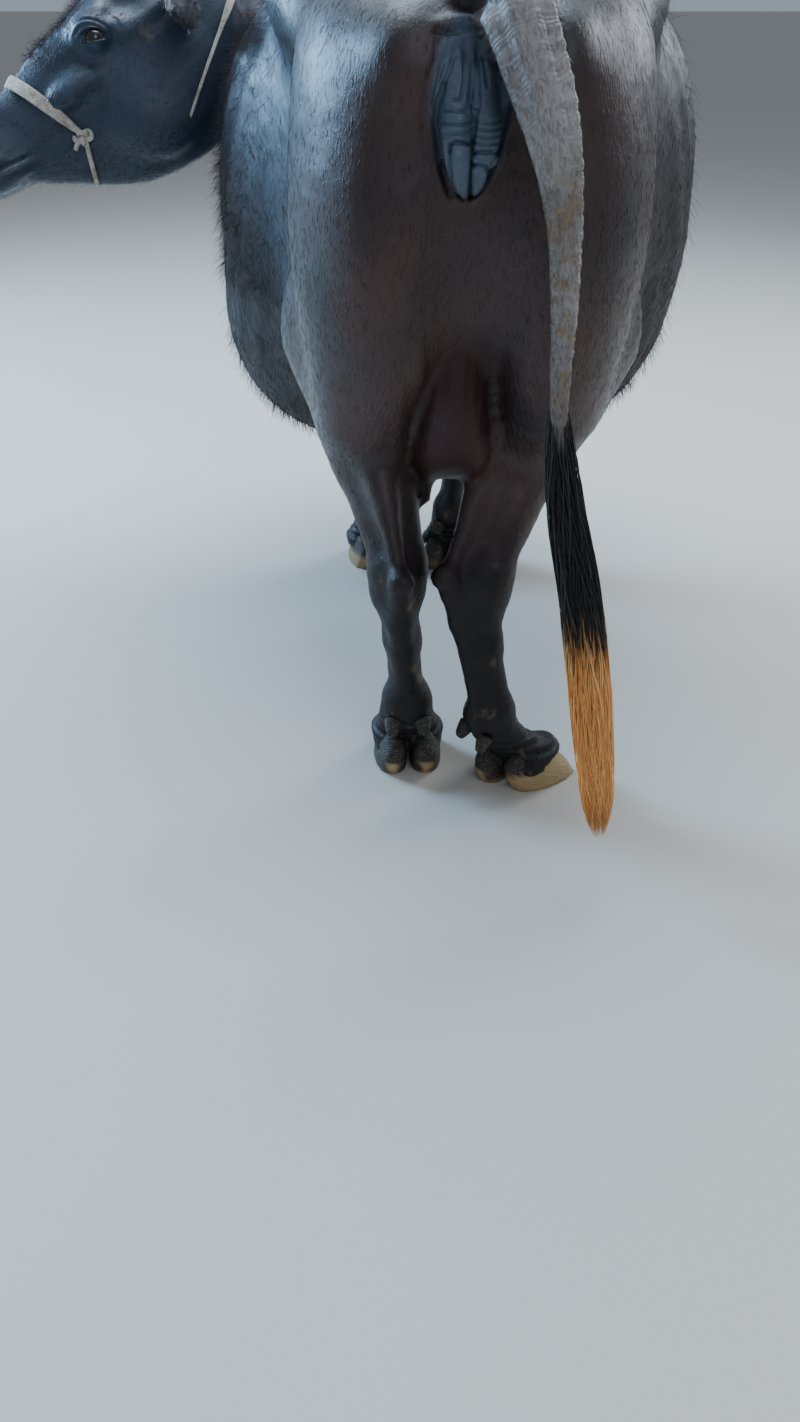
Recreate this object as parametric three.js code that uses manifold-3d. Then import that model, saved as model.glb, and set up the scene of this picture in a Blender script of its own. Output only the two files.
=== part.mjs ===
// A life-size dairy buffalo cow, standing with her head turned back over her left side.
// Units are millimetres. The body faces +Y, +X is her right and +Z is up. The heel of the left
// hind foot is at Y = 0 while she is modelled, and the last lines centre her over her own box.
import * as THREE from "three";
import { mergeVertices } from "three/addons/utils/BufferGeometryUtils.js";
import Module from "manifold-3d";

const wasm = await Module();
wasm.setup();

// Driving sizes
const GAP = 0.35;
const BELLY_LEAN = 0.09;
const CROUP_TOP = 1335;
const WITHERS_TOP = 1350;
const BELLY_LOW = 420;
const HOOK = new THREE.Vector3(256, 405, 1232);
const PIN = new THREE.Vector3(98, -40, 1160);
const LEG_CUT = 615;
const LEG_CUT_FRONT = 325;
const POLL = new THREE.Vector3(-546, 900, 1284);
const HEAD_PITCH = 26.5;
const HEAD_HEADING = 111;
const HEAD_ROLL = 19;
const EYE_RADIUS = 20;
const LID_RADIUS = 26;
const CLAW_LENGTH = 118;
const CLAW_HALF_WIDTH = 30;
const TAIL_CUT = 0.47;
const LOCKS = 20;
const NOSEBAND = 355;
const NOSEBAND_LEAN = 0.42;

const COLOURS = {
  hide: new THREE.MeshStandardMaterial({ color: 0x211e20, roughness: 0.5, metalness: 0 }),
  udder: new THREE.MeshStandardMaterial({ color: 0x2e2020, roughness: 0.6, metalness: 0 }),
  bare: new THREE.MeshStandardMaterial({ color: 0x2b3036, roughness: 0.45, metalness: 0 }),
  horn: new THREE.MeshStandardMaterial({ color: 0x2a2825, roughness: 0.5, metalness: 0 }),
  claw: new THREE.MeshStandardMaterial({ color: 0xa9926a, roughness: 0.6, metalness: 0 }),
  eye: new THREE.MeshStandardMaterial({ color: 0x140d0a, roughness: 0.08, metalness: 0 }),
  switchHair: new THREE.MeshStandardMaterial({ color: 0xa8632e, roughness: 0.7, metalness: 0 }),
  strap: new THREE.MeshStandardMaterial({ color: 0xcfc4b0, roughness: 0.9, metalness: 0 }),
};

// Vectors and easing
const vec = (x, y, z) => new THREE.Vector3(x, y, z);
const clamp = (v, lo = 0, hi = 1) => Math.min(hi, Math.max(lo, v));
const mix = (a, b, t) => a + (b - a) * t;
const rad = THREE.MathUtils.degToRad;

// The same run of numbers between 0 and 1 each time
function seeded(seed) {
  let state = seed;
  return () => {
    state = (state * 1664525 + 1013904223) % 4294967296;
    return state / 4294967296;
  };
}

// Reads a named profile, rows of [station, value], as a smooth curve.
function profile(rows) {
  return (at) => {
    const last = rows.length - 1;
    if (at <= rows[0][0]) return rows[0][1];
    if (at >= rows[last][0]) return rows[last][1];
    let i = 0;
    while (rows[i + 1][0] < at) i += 1;
    const slope = (k) => {
      const lo = Math.max(0, k - 1);
      const hi = Math.min(last, k + 1);
      return (rows[hi][1] - rows[lo][1]) / (rows[hi][0] - rows[lo][0]);
    };
    const span = rows[i + 1][0] - rows[i][0];
    const t = (at - rows[i][0]) / span;
    const bend = t * t * (3 - 2 * t);
    const hermite = t * (1 - t) * span * (slope(i) * (1 - t) - slope(i + 1) * t);
    return mix(rows[i][1], rows[i + 1][1], bend) + hermite;
  };
}

// Fields: each gives about the distance from a point to a surface, below zero inside.
const scratch = new THREE.Vector3();

function ball(centre, radii, turn = null) {
  const back = turn ? turn.clone().invert() : null;
  return (p) => {
    const q = scratch.copy(p).sub(centre);
    if (back) q.applyQuaternion(back);
    const x = q.x / radii.x;
    const y = q.y / radii.y;
    const z = q.z / radii.z;
    const k0 = Math.hypot(x, y, z);
    const k1 = Math.hypot(x / radii.x, y / radii.y, z / radii.z);
    return k1 < 1e-9 ? -Math.min(radii.x, radii.y, radii.z) : (k0 * (k0 - 1)) / k1;
  };
}

function cone(a, b, ra, rb) {
  const along = b.clone().sub(a);
  const reach = along.lengthSq();
  return (p) => {
    const q = scratch.copy(p).sub(a);
    const t = clamp(q.dot(along) / reach);
    q.addScaledVector(along, -t);
    return q.length() - mix(ra, rb, t);
  };
}

function chain(points, radii) {
  const links = points.slice(1).map((b, i) => cone(points[i], b, radii[i], radii[i + 1]));
  return (p) => Math.min(...links.map((link) => link(p)));
}

function blend(parts, soft) {
  return (p) => {
    let d = parts[0](p);
    for (let i = 1; i < parts.length; i += 1) {
      const e = parts[i](p);
      const h = Math.max(soft - Math.abs(d - e), 0) / soft;
      d = Math.min(d, e) - (h * h * soft) / 4;
    }
    return d;
  };
}

// Takes a soft hollow out of a field.
function dent(base, hollow, soft) {
  return (p) => {
    const d = base(p);
    const e = -hollow(p);
    const h = Math.max(soft - Math.abs(d - e), 0) / soft;
    return Math.max(d, e) + (h * h * soft) / 4;
  };
}

// Solids
function solidFrom(geometry) {
  const mesh = new wasm.Mesh({
    numProp: 3,
    vertProperties: new Float32Array(geometry.attributes.position.array),
    triVerts: new Uint32Array(geometry.index.array),
  });
  return new wasm.Manifold(mesh);
}

function solidOf(geometry) {
  const bare = new THREE.BufferGeometry();
  bare.setAttribute("position", geometry.getAttribute("position"));
  bare.setIndex(geometry.index);
  return solidFrom(mergeVertices(bare, 1e-3));
}

function geometryOf(solid) {
  const mesh = solid.getMesh();
  const geometry = new THREE.BufferGeometry();
  const count = mesh.vertProperties.length / mesh.numProp;
  const place = new Float32Array(count * 3);
  for (let i = 0; i < count; i += 1) {
    for (let k = 0; k < 3; k += 1) place[3 * i + k] = mesh.vertProperties[mesh.numProp * i + k];
  }
  geometry.setAttribute("position", new THREE.BufferAttribute(place, 3));
  geometry.setIndex(new THREE.BufferAttribute(new Uint32Array(mesh.triVerts), 1));
  return geometry;
}

function largest(solid) {
  const pieces = solid.decompose();
  return pieces.reduce((best, piece) => (piece.volume() > best.volume() ? piece : best));
}

// The same solid, its surface moved out by a hair so that a neighbour cut by it keeps a gap.
function grown(solid, by = GAP) {
  const geometry = geometryOf(solid);
  geometry.computeVertexNormals();
  const place = geometry.attributes.position;
  const normal = geometry.attributes.normal;
  for (let i = 0; i < place.count; i += 1) {
    place.setXYZ(
      i,
      place.getX(i) + by * normal.getX(i),
      place.getY(i) + by * normal.getY(i),
      place.getZ(i) + by * normal.getZ(i),
    );
  }
  return solidFrom(geometry);
}

// What is left of a solid beside its neighbours, a gap away from each.
function clearOf(solid, ...neighbours) {
  return neighbours.reduce((rest, other) => rest.subtract(grown(other)).subtract(other), solid);
}

// Everything on one side of a plane, as a large block.
function beyond(point, direction, size = 4000) {
  const block = new THREE.BoxGeometry(size, size, size);
  block.translate(0, 0, size / 2);
  const turn = new THREE.Quaternion().setFromUnitVectors(vec(0, 0, 1), direction.clone().normalize());
  block.applyQuaternion(turn);
  block.translate(point.x, point.y, point.z);
  return solidOf(block);
}

// Casts rings of rays from a spine onto a field. The first and last rows fan round the ends.
function wrap(field, spine, { rows, caps = 5, sides, reach = 900, up = vec(0, 0, 1), turn = 0 }) {
  const curve = new THREE.CatmullRomCurve3(spine, false, "centripetal");
  const vertices = [];
  const p = new THREE.Vector3();
  const cast = (origin, ray) => {
    const at = (r) => field(p.copy(origin).addScaledVector(ray, r));
    const step = reach / 90;
    let hi = step;
    while (hi < reach && at(hi) < 0) hi += step;
    let lo = hi - step;
    for (let i = 0; i < 14; i += 1) {
      const middle = (lo + hi) / 2;
      if (at(middle) < 0) lo = middle;
      else hi = middle;
    }
    return origin.clone().addScaledVector(ray, Math.max(lo, 0.5));
  };
  const rings = [];
  for (let i = caps - 1; i >= 1; i -= 1) rings.push([0, -i / caps]);
  for (let i = 0; i <= rows; i += 1) rings.push([i / rows, 0]);
  for (let i = 1; i < caps; i += 1) rings.push([1, i / caps]);
  const frameAt = (t) => {
    const along = curve.getTangentAt(t);
    const side = new THREE.Vector3().crossVectors(along, up).normalize();
    const top = new THREE.Vector3().crossVectors(side, along).normalize();
    return { origin: curve.getPointAt(t), along, side, top };
  };
  for (const [t, lean] of rings) {
    const { origin, along, side, top } = frameAt(t);
    const tilt = (lean * Math.PI) / 2;
    for (let k = 0; k < sides; k += 1) {
      const angle = turn + (2 * Math.PI * k) / sides;
      const ray = side.clone().multiplyScalar(Math.cos(angle) * Math.cos(tilt));
      ray.addScaledVector(top, Math.sin(angle) * Math.cos(tilt));
      ray.addScaledVector(along, Math.sin(tilt));
      vertices.push(cast(origin, ray));
    }
  }
  const start = frameAt(0);
  const end = frameAt(1);
  vertices.push(cast(start.origin, start.along.clone().negate()));
  vertices.push(cast(end.origin, end.along));
  return skinned(vertices, rings.length, sides);
}

// Joins rings of points, and a pole at each end, into one closed body.
function skinned(vertices, rows, sides) {
  const index = [];
  const id = (row, k) => row * sides + (k % sides);
  for (let row = 0; row < rows - 1; row += 1) {
    for (let k = 0; k < sides; k += 1) {
      const [a, b, c, d] = [id(row, k), id(row, k + 1), id(row + 1, k + 1), id(row + 1, k)];
      index.push(a, b, c, a, c, d);
    }
  }
  const first = rows * sides;
  for (let k = 0; k < sides; k += 1) {
    index.push(first, id(0, k + 1), id(0, k));
    index.push(first + 1, id(rows - 1, k), id(rows - 1, k + 1));
  }
  return facingOut(vertices, index);
}

// A closed body from its points and triangles, turned so that its faces look outward.
function facingOut(vertices, index) {
  const geometry = new THREE.BufferGeometry();
  const flat = vertices.flatMap((v) => [v.x, v.y, v.z]);
  geometry.setAttribute("position", new THREE.BufferAttribute(new Float32Array(flat), 3));
  geometry.setIndex(index);
  const body = solidOf(geometry);
  if (body.volume() > 0) return body;
  for (let i = 0; i < index.length; i += 3) [index[i + 1], index[i + 2]] = [index[i + 2], index[i + 1]];
  geometry.setIndex(index);
  return solidOf(geometry);
}

// A tube of changing oval section along a curve, with closed round ends.
function taper(points, wide, deep, { rows, sides, up = vec(0, 1, 0) }) {
  const curve = new THREE.CatmullRomCurve3(points, false, "centripetal");
  const vertices = [];
  const frameAt = (t) => {
    const along = curve.getTangentAt(t);
    const side = new THREE.Vector3().crossVectors(along, up).normalize();
    return { along, side, top: new THREE.Vector3().crossVectors(side, along), origin: curve.getPointAt(t) };
  };
  for (let i = 0; i <= rows; i += 1) {
    const t = i / rows;
    const { origin, side, top } = frameAt(t);
    for (let k = 0; k < sides; k += 1) {
      const angle = (2 * Math.PI * k) / sides;
      vertices.push(
        origin.clone().addScaledVector(side, wide(t) * Math.cos(angle)).addScaledVector(top, deep(t) * Math.sin(angle)),
      );
    }
  }
  const start = frameAt(0);
  const end = frameAt(1);
  vertices.push(start.origin.addScaledVector(start.along, -0.4 * deep(0)));
  vertices.push(end.origin.addScaledVector(end.along, 0.4 * deep(1)));
  return skinned(vertices, rows + 1, sides);
}

// Trunk: half width, top line, belly line and level of the widest point, by station along Y
const trunkWidth = profile([
  [-60, 150], [100, 225], [260, 262], [400, 332], [540, 416], [680, 460], [840, 445],
  [1000, 392], [1150, 322], [1260, 262], [1340, 196], [1400, 60],
]);
const trunkTop = profile([
  [-60, 1250], [60, 1300], [250, CROUP_TOP], [420, 1338], [600, 1326], [800, 1320], [1000, 1334],
  [1150, WITHERS_TOP], [1260, 1320], [1340, 1240], [1400, 1060],
]);
const trunkLow = profile([
  [-60, 900], [100, 760], [260, 620], [400, 520], [540, 446], [680, BELLY_LOW], [840, 430],
  [1000, 492], [1150, 560], [1260, 610], [1340, 680], [1400, 840],
]);
const trunkMiddle = profile([
  [-60, 1080], [100, 1040], [260, 960], [400, 880], [540, 835], [680, 822], [840, 815],
  [1000, 835], [1150, 880], [1290, 925], [1400, 940],
]);
const spineSway = profile([[0, 0], [300, 12], [700, 2], [1000, -30], [1250, -75], [1450, -120]]);

// A body with a flat-sided oval section that changes along y.
function barrel({ width, top, low, middle, sway, lean = 0, above, below, from, to, ends }) {
  return (p) => {
    const centre = middle(p.y);
    const upper = p.z > centre;
    const half = upper ? top(p.y) - centre : centre - low(p.y);
    const power = upper ? above : below;
    const across = Math.abs(p.x - sway(p.y) + lean * Math.max(centre - p.z, 0)) / width(p.y);
    const tall = Math.abs(p.z - centre) / half;
    const share = Math.pow(Math.pow(across, power) + Math.pow(tall, power), 1 / power);
    const round = (share - 1) * Math.min(width(p.y), half);
    const end = Math.max(from - p.y, p.y - to);
    const h = Math.max(ends - Math.abs(round - end), 0) / ends;
    return Math.max(round, end) + (h * h * ends) / 4;
  };
}

const trunk = barrel({
  width: trunkWidth, top: trunkTop, low: trunkLow, middle: trunkMiddle, sway: spineSway,
  lean: BELLY_LEAN, above: 2.8, below: 2.95, from: -70, to: 1398, ends: 90,
});

// Hindquarters, one side at a time
function rump(side) {
  const at = (x, y, z) => vec(side * x, y, z);
  return [
    ball(at(HOOK.x, HOOK.y, HOOK.z), vec(62, 78, 46)),
    cone(at(HOOK.x - 30, HOOK.y - 30, HOOK.z - 30), at(PIN.x + 40, PIN.y + 110, PIN.z - 10), 62, 74),
    ball(at(PIN.x, PIN.y, PIN.z), vec(46, 46, 56)),
    ball(at(146, 150, 1000), vec(126, 205, 250)),
    ball(at(150, 150, 840), vec(112, 180, 250)),
    ball(at(120, 10, 930), vec(80, 92, 250)),
    ball(at(185, 285, 770), vec(108, 120, 150)),
    cone(at(140, 62, 850).add(vec(-18, 0, 0)), at(140, 75, 640).add(vec(-18, 0, 0)), 80, 72),
  ];
}

// Where the joints of each leg stand. The right hind foot is turned out, as the photo shows.
const HIND = {
  left: {
    side: -1, turn: 4,
    stifle: vec(-185, 250, 745), gaskin: vec(-150, 120, 590), hock: vec(-108, 22, 394),
    cannon: vec(-100, 22, 285), fetlock: vec(-92, 30, 152), foot: vec(-90, 62, 0),
  },
  right: {
    side: 1, turn: -56,
    stifle: vec(185, 250, 745), gaskin: vec(106, 120, 585), hock: vec(32, 14, 390),
    cannon: vec(36, 0, 285), fetlock: vec(60, -16, 150), foot: vec(122, 6, 0),
    footTurn: -30, clawTurn: -50, splay: 14, spread: 40,
  },
};
const FORE = {
  left: {
    side: -1, turn: 10,
    elbow: vec(-255, 1090, 705), arm: vec(-225, 1040, 560), knee: vec(-185, 985, 392),
    cannon: vec(-172, 950, 270), fetlock: vec(-166, 925, 150), foot: vec(-172, 935, 0),
  },
  right: {
    side: 1, turn: -8,
    elbow: vec(150, 1120, 705), arm: vec(112, 1060, 560), knee: vec(58, 985, 392),
    cannon: vec(36, 938, 270), fetlock: vec(24, 906, 150), foot: vec(20, 918, 0),
  },
};

// A foot's own axes: forward along the toes, and across them to the right.
function heading(turn) {
  const ahead = vec(-Math.sin(rad(turn)), Math.cos(rad(turn)), 0);
  return { ahead, across: vec(ahead.y, -ahead.x, 0) };
}

function offset(point, axes, across, ahead, up) {
  return point.clone().addScaledVector(axes.across, across).addScaledVector(axes.ahead, ahead).add(vec(0, 0, up));
}

// The pastern and its two digits, common to every foot
function digits(leg, axes) {
  const low = heading(leg.footTurn ?? leg.turn);
  const split = offset(leg.fetlock, axes, 0, 14, -38);
  return [
    cone(leg.fetlock, split, 41, 38),
    ball(offset(leg.fetlock, axes, 0, -8, 0), vec(44, 44, 40)),
    ...[-1, 1].map((k) => cone(offset(leg.fetlock, axes, k * 19, 8, -34), offset(leg.foot, low, k * 33, 6, 56), 31, 33)),
    ...[-1, 1].map((k) => cone(offset(leg.foot, low, k * 33, -30, 38), offset(leg.foot, low, k * 33, 22, 62), 31, 28)),
  ];
}

function hindField(leg) {
  const axes = heading(leg.turn);
  const point = offset(leg.hock, axes, 0, -70, 30);
  const parts = [
    cone(leg.stifle, leg.gaskin, 112, 74),
    cone(leg.gaskin, offset(leg.hock, axes, 0, 10, 44), 72, 50),
    cone(offset(leg.gaskin, axes, 0, -70, 20), offset(point, axes, 0, 0, 6), 34, 15),
    cone(point, offset(leg.hock, axes, 0, -38, -60), 21, 22),
    ball(offset(leg.hock, axes, 0, 8, 10), vec(54, 62, 66)),
    cone(offset(leg.hock, axes, 0, 2, -30), offset(leg.cannon, axes, 0, 6, 0), 45, 34),
    cone(offset(leg.cannon, axes, 0, 6, 0), offset(leg.fetlock, axes, 0, 4, 20), 33, 35),
    cone(offset(leg.hock, axes, 0, -34, -60), offset(leg.fetlock, axes, 0, -26, 26), 20, 21),
    ...digits(leg, axes),
  ];
  return blend(parts, 26);
}

function foreField(leg) {
  const axes = heading(leg.turn);
  const parts = [
    cone(leg.elbow, leg.arm, 74, 66),
    cone(offset(leg.elbow, axes, 0, -34, 6), offset(leg.arm, axes, 0, -20, 0), 40, 44),
    cone(leg.arm, offset(leg.knee, axes, 0, 0, 50), 64, 44),
    ball(offset(leg.knee, axes, 0, 6, 0), vec(48, 50, 58)),
    ball(offset(leg.knee, axes, 0, -30, 22), vec(24, 24, 30)),
    cone(offset(leg.knee, axes, 0, 4, -30), offset(leg.cannon, axes, 0, 6, 0), 42, 32),
    cone(offset(leg.cannon, axes, 0, 6, 0), offset(leg.fetlock, axes, 0, 4, 20), 31, 36),
    cone(offset(leg.knee, axes, 0, -26, -46), offset(leg.fetlock, axes, 0, -24, 26), 20, 21),
    ...digits(leg, axes),
  ];
  return blend(parts, 26);
}

// Shoulder and upper arm, lying on the ribs above each fore leg
function shoulder(leg) {
  const s = leg.side;
  const sway = spineSway(1150);
  return [
    cone(vec(sway + s * 130, 1130, 1260), vec(sway + s * 245, 1290, 900), 60, 105),
    cone(vec(sway + s * 245, 1290, 900), leg.elbow.clone().add(vec(0, 10, 20)), 100, 96),
    ball(vec(sway + s * 215, 1120, 960), vec(95, 170, 220)),
  ];
}

// Neck: three strands along one bend, the crest, the middle and the throat
const NECK_PATH = [
  vec(-20, 1110, 1020), vec(-80, 1215, 1040), vec(-180, 1268, 1060), vec(-300, 1238, 1085),
  vec(-398, 1150, 1112), vec(-470, 1040, 1140),
];
function strand(lifts, radii) {
  return chain(NECK_PATH.map((point, i) => point.clone().add(vec(0, 0, lifts[i]))), radii);
}
const neckParts = [
  strand([200, 190, 170, 150, 128, 112], [110, 100, 82, 70, 66, 66]),
  strand([0, 0, 0, 0, 0, 0], [190, 165, 135, 118, 106, 100]),
  strand([-190, -185, -165, -150, -125, -95], [150, 135, 110, 92, 80, 76]),
];

// Head: a local frame with x to her right, y down the face from the poll, z out of the forehead
const headAhead = vec(
  -Math.sin(rad(HEAD_HEADING)) * Math.cos(rad(HEAD_PITCH)),
  Math.cos(rad(HEAD_HEADING)) * Math.cos(rad(HEAD_PITCH)),
  -Math.sin(rad(HEAD_PITCH)),
);
const headLevel = new THREE.Vector3().crossVectors(headAhead, vec(0, 0, 1)).normalize();
const headRight = headLevel.applyAxisAngle(headAhead, rad(HEAD_ROLL));
const headTop = new THREE.Vector3().crossVectors(headRight, headAhead);
const headTurn = new THREE.Quaternion().setFromRotationMatrix(
  new THREE.Matrix4().makeBasis(headRight, headAhead, headTop),
);
const headBack = headTurn.clone().invert();
const onHead = (x, y, z) => vec(x, y, z).applyQuaternion(headTurn).add(POLL);
const headBall = (x, y, z, rx, ry, rz) => ball(onHead(x, y, z), vec(rx, ry, rz), headTurn);
const headCone = (a, b, ra, rb) => cone(onHead(...a), onHead(...b), ra, rb);
const EYE = [94, 214, -69];

const face = barrel({
  width: profile([
    [-60, 66], [0, 90], [60, 102], [130, 102], [200, 98], [260, 86], [330, 68], [400, 58], [470, 62],
    [525, 70], [575, 58],
  ]),
  top: profile([
    [-60, -30], [0, -2], [60, 12], [130, 22], [200, 18], [260, 2], [330, -14], [400, -28], [460, -40],
    [520, -54], [575, -84],
  ]),
  low: profile([
    [-60, -225], [0, -268], [60, -304], [130, -324], [200, -324], [260, -310], [330, -276], [400, -234],
    [460, -200], [520, -184], [575, -156],
  ]),
  middle: profile([[-60, -125], [0, -115], [130, -106], [220, -104], [300, -112], [400, -120], [575, -120]]),
  sway: () => 0,
  above: 2.9,
  below: 1.9,
  from: -70,
  to: 574,
  ends: 16,
});
const headLocal = new THREE.Vector3();
const skull = [
  (p) => face(headLocal.copy(p).sub(POLL).applyQuaternion(headBack)),
  ...[-1, 1].flatMap((s) => [
    headBall(s * 82, 200, -52, 36, 56, 36),
    headBall(s * 58, 175, -200, 40, 100, 92),
    headBall(s * 70, 275, -112, 24, 80, 26),
    headBall(s * 36, 534, -88, 32, 36, 32),
    headBall(s * 32, 496, -170, 27, 60, 17),
  ]),
];
let headField = blend([...skull, neckParts[1], neckParts[2]], 26);
for (const s of [-1, 1]) {
  headField = dent(headField, headBall(s * 112, 118, -40, 26, 52, 18), 20);
}

const torsoParts = [
  trunk,
  ...rump(-1),
  ...rump(1),
  ball(vec(-12, 70, 930), vec(120, 100, 210)),
  cone(HIND.left.stifle, HIND.left.gaskin, 112, 74),
  cone(HIND.right.stifle, HIND.right.gaskin, 112, 74),
  cone(HIND.left.gaskin, HIND.left.hock, 74, 50),
  cone(HIND.right.gaskin, HIND.right.hock, 74, 50),
  ...shoulder(FORE.left),
  ...shoulder(FORE.right),
  ...neckParts,
  ball(vec(-70, 1240, 930), vec(205, 170, 250)),
  ball(vec(-85, 1320, 760), vec(105, 110, 120)),
];
const torsoField = blend(torsoParts, 60);
const neckField = blend([...torsoParts, ...skull], 60);

// Claws stand flat on the floor, two to a foot, each a sheared dome
function claw(leg, k) {
  const axes = heading((leg.clawTurn ?? leg.turn) - k * (leg.splay ?? 5));
  const spread = leg.spread ?? CLAW_HALF_WIDTH + 4;
  const centre = offset(leg.foot, heading(leg.footTurn ?? leg.turn), k * spread, 0, 0);
  const half = CLAW_LENGTH / 2;
  const field = (p) => {
    const q = p.clone().sub(centre);
    const across = q.dot(axes.across);
    const lean = q.dot(axes.ahead) + q.z * 0.5;
    const x = across / CLAW_HALF_WIDTH;
    const y = (lean - 8) / (half + 8);
    const z = q.z / 78;
    const narrow = 1 + 0.3 * clamp(y, 0, 1);
    return (Math.pow(Math.abs(x * narrow) ** 2.6 + Math.abs(y) ** 2.6 + Math.abs(z) ** 2.4, 1 / 2.5) - 1) * 28;
  };
  const spine = [offset(centre, axes, 0, -half * 0.4, 22), offset(centre, axes, 0, half * 0.35, 18)];
  const dome = wrap(field, spine, { rows: 3, caps: 3, sides: 10, reach: 130 });
  return dome.intersect(beyond(vec(0, 0, 0), vec(0, 0, 1)));
}

function dewclaw(leg, k) {
  const axes = heading(leg.turn);
  const root = offset(leg.fetlock, axes, k * 26, -34, -24);
  const tip = offset(leg.fetlock, axes, k * 31, -50, -50);
  return taper([root, tip], (t) => mix(17, 11, t), (t) => mix(14, 9, t), { rows: 2, sides: 6, up: axes.ahead });
}

const nodes = new Map();
const keep = (name, solid, material) => nodes.set(name, { solid, material });

// Udder, low between the thighs
const udderField = blend(
  [
    ball(vec(-20, 85, 710), vec(70, 112, 156)),
    ball(vec(-12, 190, 650), vec(108, 150, 96)),
    ...[-1, 1].map((k) => ball(vec(-20 + k * 34, 85, 632), vec(38, 90, 78))),
    ...[-1, 1].flatMap((k) => [100, 215].map((y) => cone(vec(-12 + k * 48, y, 590), vec(-12 + k * 52, y, 488), 22, 12))),
  ],
  24,
);
const udder = wrap(udderField, [vec(-12, 60, 690), vec(-12, 190, 650)], {
  rows: 5, caps: 5, sides: 20, reach: 260,
});

const vulvaField = blend(
  [
    ...[-1, 1].map((k) => cone(vec(-14 + k * 17, -66, 1150), vec(-14 + k * 19, -84, 1060), 20, 22)),
    ...[-1, 1].map((k) => cone(vec(-14 + k * 19, -84, 1060), vec(-14 + k * 9, -82, 1022), 20, 13)),
  ],
  10,
);
const vulva = wrap(vulvaField, [vec(-14, -70, 1150), vec(-14, -84, 1045)], {
  rows: 6, caps: 3, sides: 14, reach: 90, up: vec(0, 1, 0),
});

// Torso, cut off above the hind legs and at the neck
const neckCut = { at: vec(-285, 1250, 1075), along: vec(-0.75, 0.42, 0.5) };
const torsoSpine = [
  vec(0, 190, 950), vec(0, 450, 915), vec(0, 750, 890), vec(-12, 1000, 900), vec(-30, 1130, 925),
];
const torsoWrap = wrap(torsoField, torsoSpine, { rows: 16, caps: 7, sides: 32, reach: 700 });
const legBox = new THREE.BoxGeometry(1600, 1000, 1000);
legBox.translate(0, LEG_CUT_FRONT - 500, LEG_CUT - 500);
const legRegion = solidOf(legBox);
const udderRoom = grown(udder);
const vulvaRoom = grown(vulva);
const torso = largest(
  torsoWrap
    .subtract(legRegion)
    .subtract(beyond(neckCut.at, neckCut.along))
    .subtract(udderRoom)
    .subtract(vulvaRoom),
);

// Neck
const headCut = { at: onHead(0, -40, -150), along: vec(-0.72, -0.6, -0.3) };
const shifted = (cut, by) => cut.at.clone().addScaledVector(cut.along.clone().normalize(), by);
const neckWrap = wrap(neckField, [...NECK_PATH, onHead(0, 60, -120)], {
  rows: 14, caps: 3, sides: 24, reach: 460,
});
const neck = largest(
  neckWrap
    .intersect(beyond(shifted(neckCut, GAP), neckCut.along))
    .subtract(beyond(headCut.at, headCut.along)),
);

// Head, with eyes in their sockets
const headSpine = [onHead(0, -20, -128), onHead(0, 120, -118), onHead(0, 310, -118), onHead(0, 500, -112)];
let head = wrap(headField, headSpine, { rows: 17, caps: 4, sides: 24, reach: 330, up: headTop });
head = largest(clearOf(head.intersect(beyond(shifted(headCut, GAP), headCut.along)), torso));

function sphere(centre, radii, across, down, turn) {
  const geometry = new THREE.SphereGeometry(1, across, down);
  geometry.scale(radii.x, radii.y, radii.z);
  if (turn) geometry.applyQuaternion(turn);
  geometry.translate(centre.x, centre.y, centre.z);
  return solidOf(geometry);
}

for (const [name, s] of [["left", -1], ["right", 1]]) {
  const centre = onHead(s * EYE[0], EYE[1], EYE[2]);
  const eye = sphere(centre, vec(EYE_RADIUS, EYE_RADIUS, EYE_RADIUS), 12, 8, headTurn);
  const lids = sphere(centre, vec(LID_RADIUS, LID_RADIUS * 1.25, LID_RADIUS), 12, 8, headTurn);
  const opening = sphere(onHead(s * (EYE[0] + 24), EYE[1], EYE[2] - 1), vec(20, 22, 12), 10, 6, headTurn);
  head = clearOf(head.add(lids).subtract(opening), eye);
  keep(`eye_${name}`, eye, COLOURS.eye);
  head = head.subtract(sphere(onHead(s * 40, 570, -94), vec(13, 25, 18), 8, 6, headTurn));
}
const lipLine = [
  [-62, 428, -166], [-69, 480, -160], [-62, 535, -153], [-36, 572, -146], [0, 580, -144],
  [36, 572, -146], [62, 535, -153], [69, 480, -160], [62, 428, -166],
].map((place) => onHead(...place));
head = head.subtract(taper(lipLine, () => 4, () => 9, { rows: 14, sides: 4, up: headTop }));

// Ears: cupped leaves held out sideways and a little down
function ear(s) {
  const root = onHead(s * 80, 34, -92);
  const bend = onHead(s * 188, 46, -102);
  const tip = onHead(s * 316, 106, -146);
  const leaf = profile([[0, 24], [0.15, 40], [0.4, 60], [0.65, 54], [0.88, 28], [1, 9]]);
  const hollow = profile([[0, 8], [0.2, 30], [0.5, 44], [0.8, 32], [1, 8]]);
  const blade = taper([root, bend, tip], leaf, (t) => mix(22, 6, t), { rows: 8, sides: 12, up: headAhead });
  const cup = taper(
    [onHead(s * 112, 50, -94), onHead(s * 194, 66, -102), onHead(s * 280, 96, -128)],
    hollow, () => 15, { rows: 6, sides: 8, up: headAhead },
  );
  return largest(blade.subtract(cup));
}

// Horns: flattened, swept back and up into a close curl
function horn(s) {
  const points = [
    [56, 14, -30], [92, -10, -22], [120, -46, -14], [130, -86, 10], [116, -104, 46], [90, -92, 70],
    [74, -62, 68], [78, -44, 44], [96, -50, 26],
  ].map(([x, y, z]) => onHead(s * x, y, z));
  return taper(points, (t) => mix(33, 8, t), (t) => mix(23, 7, t), { rows: 16, sides: 8, up: headTop });
}

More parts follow.
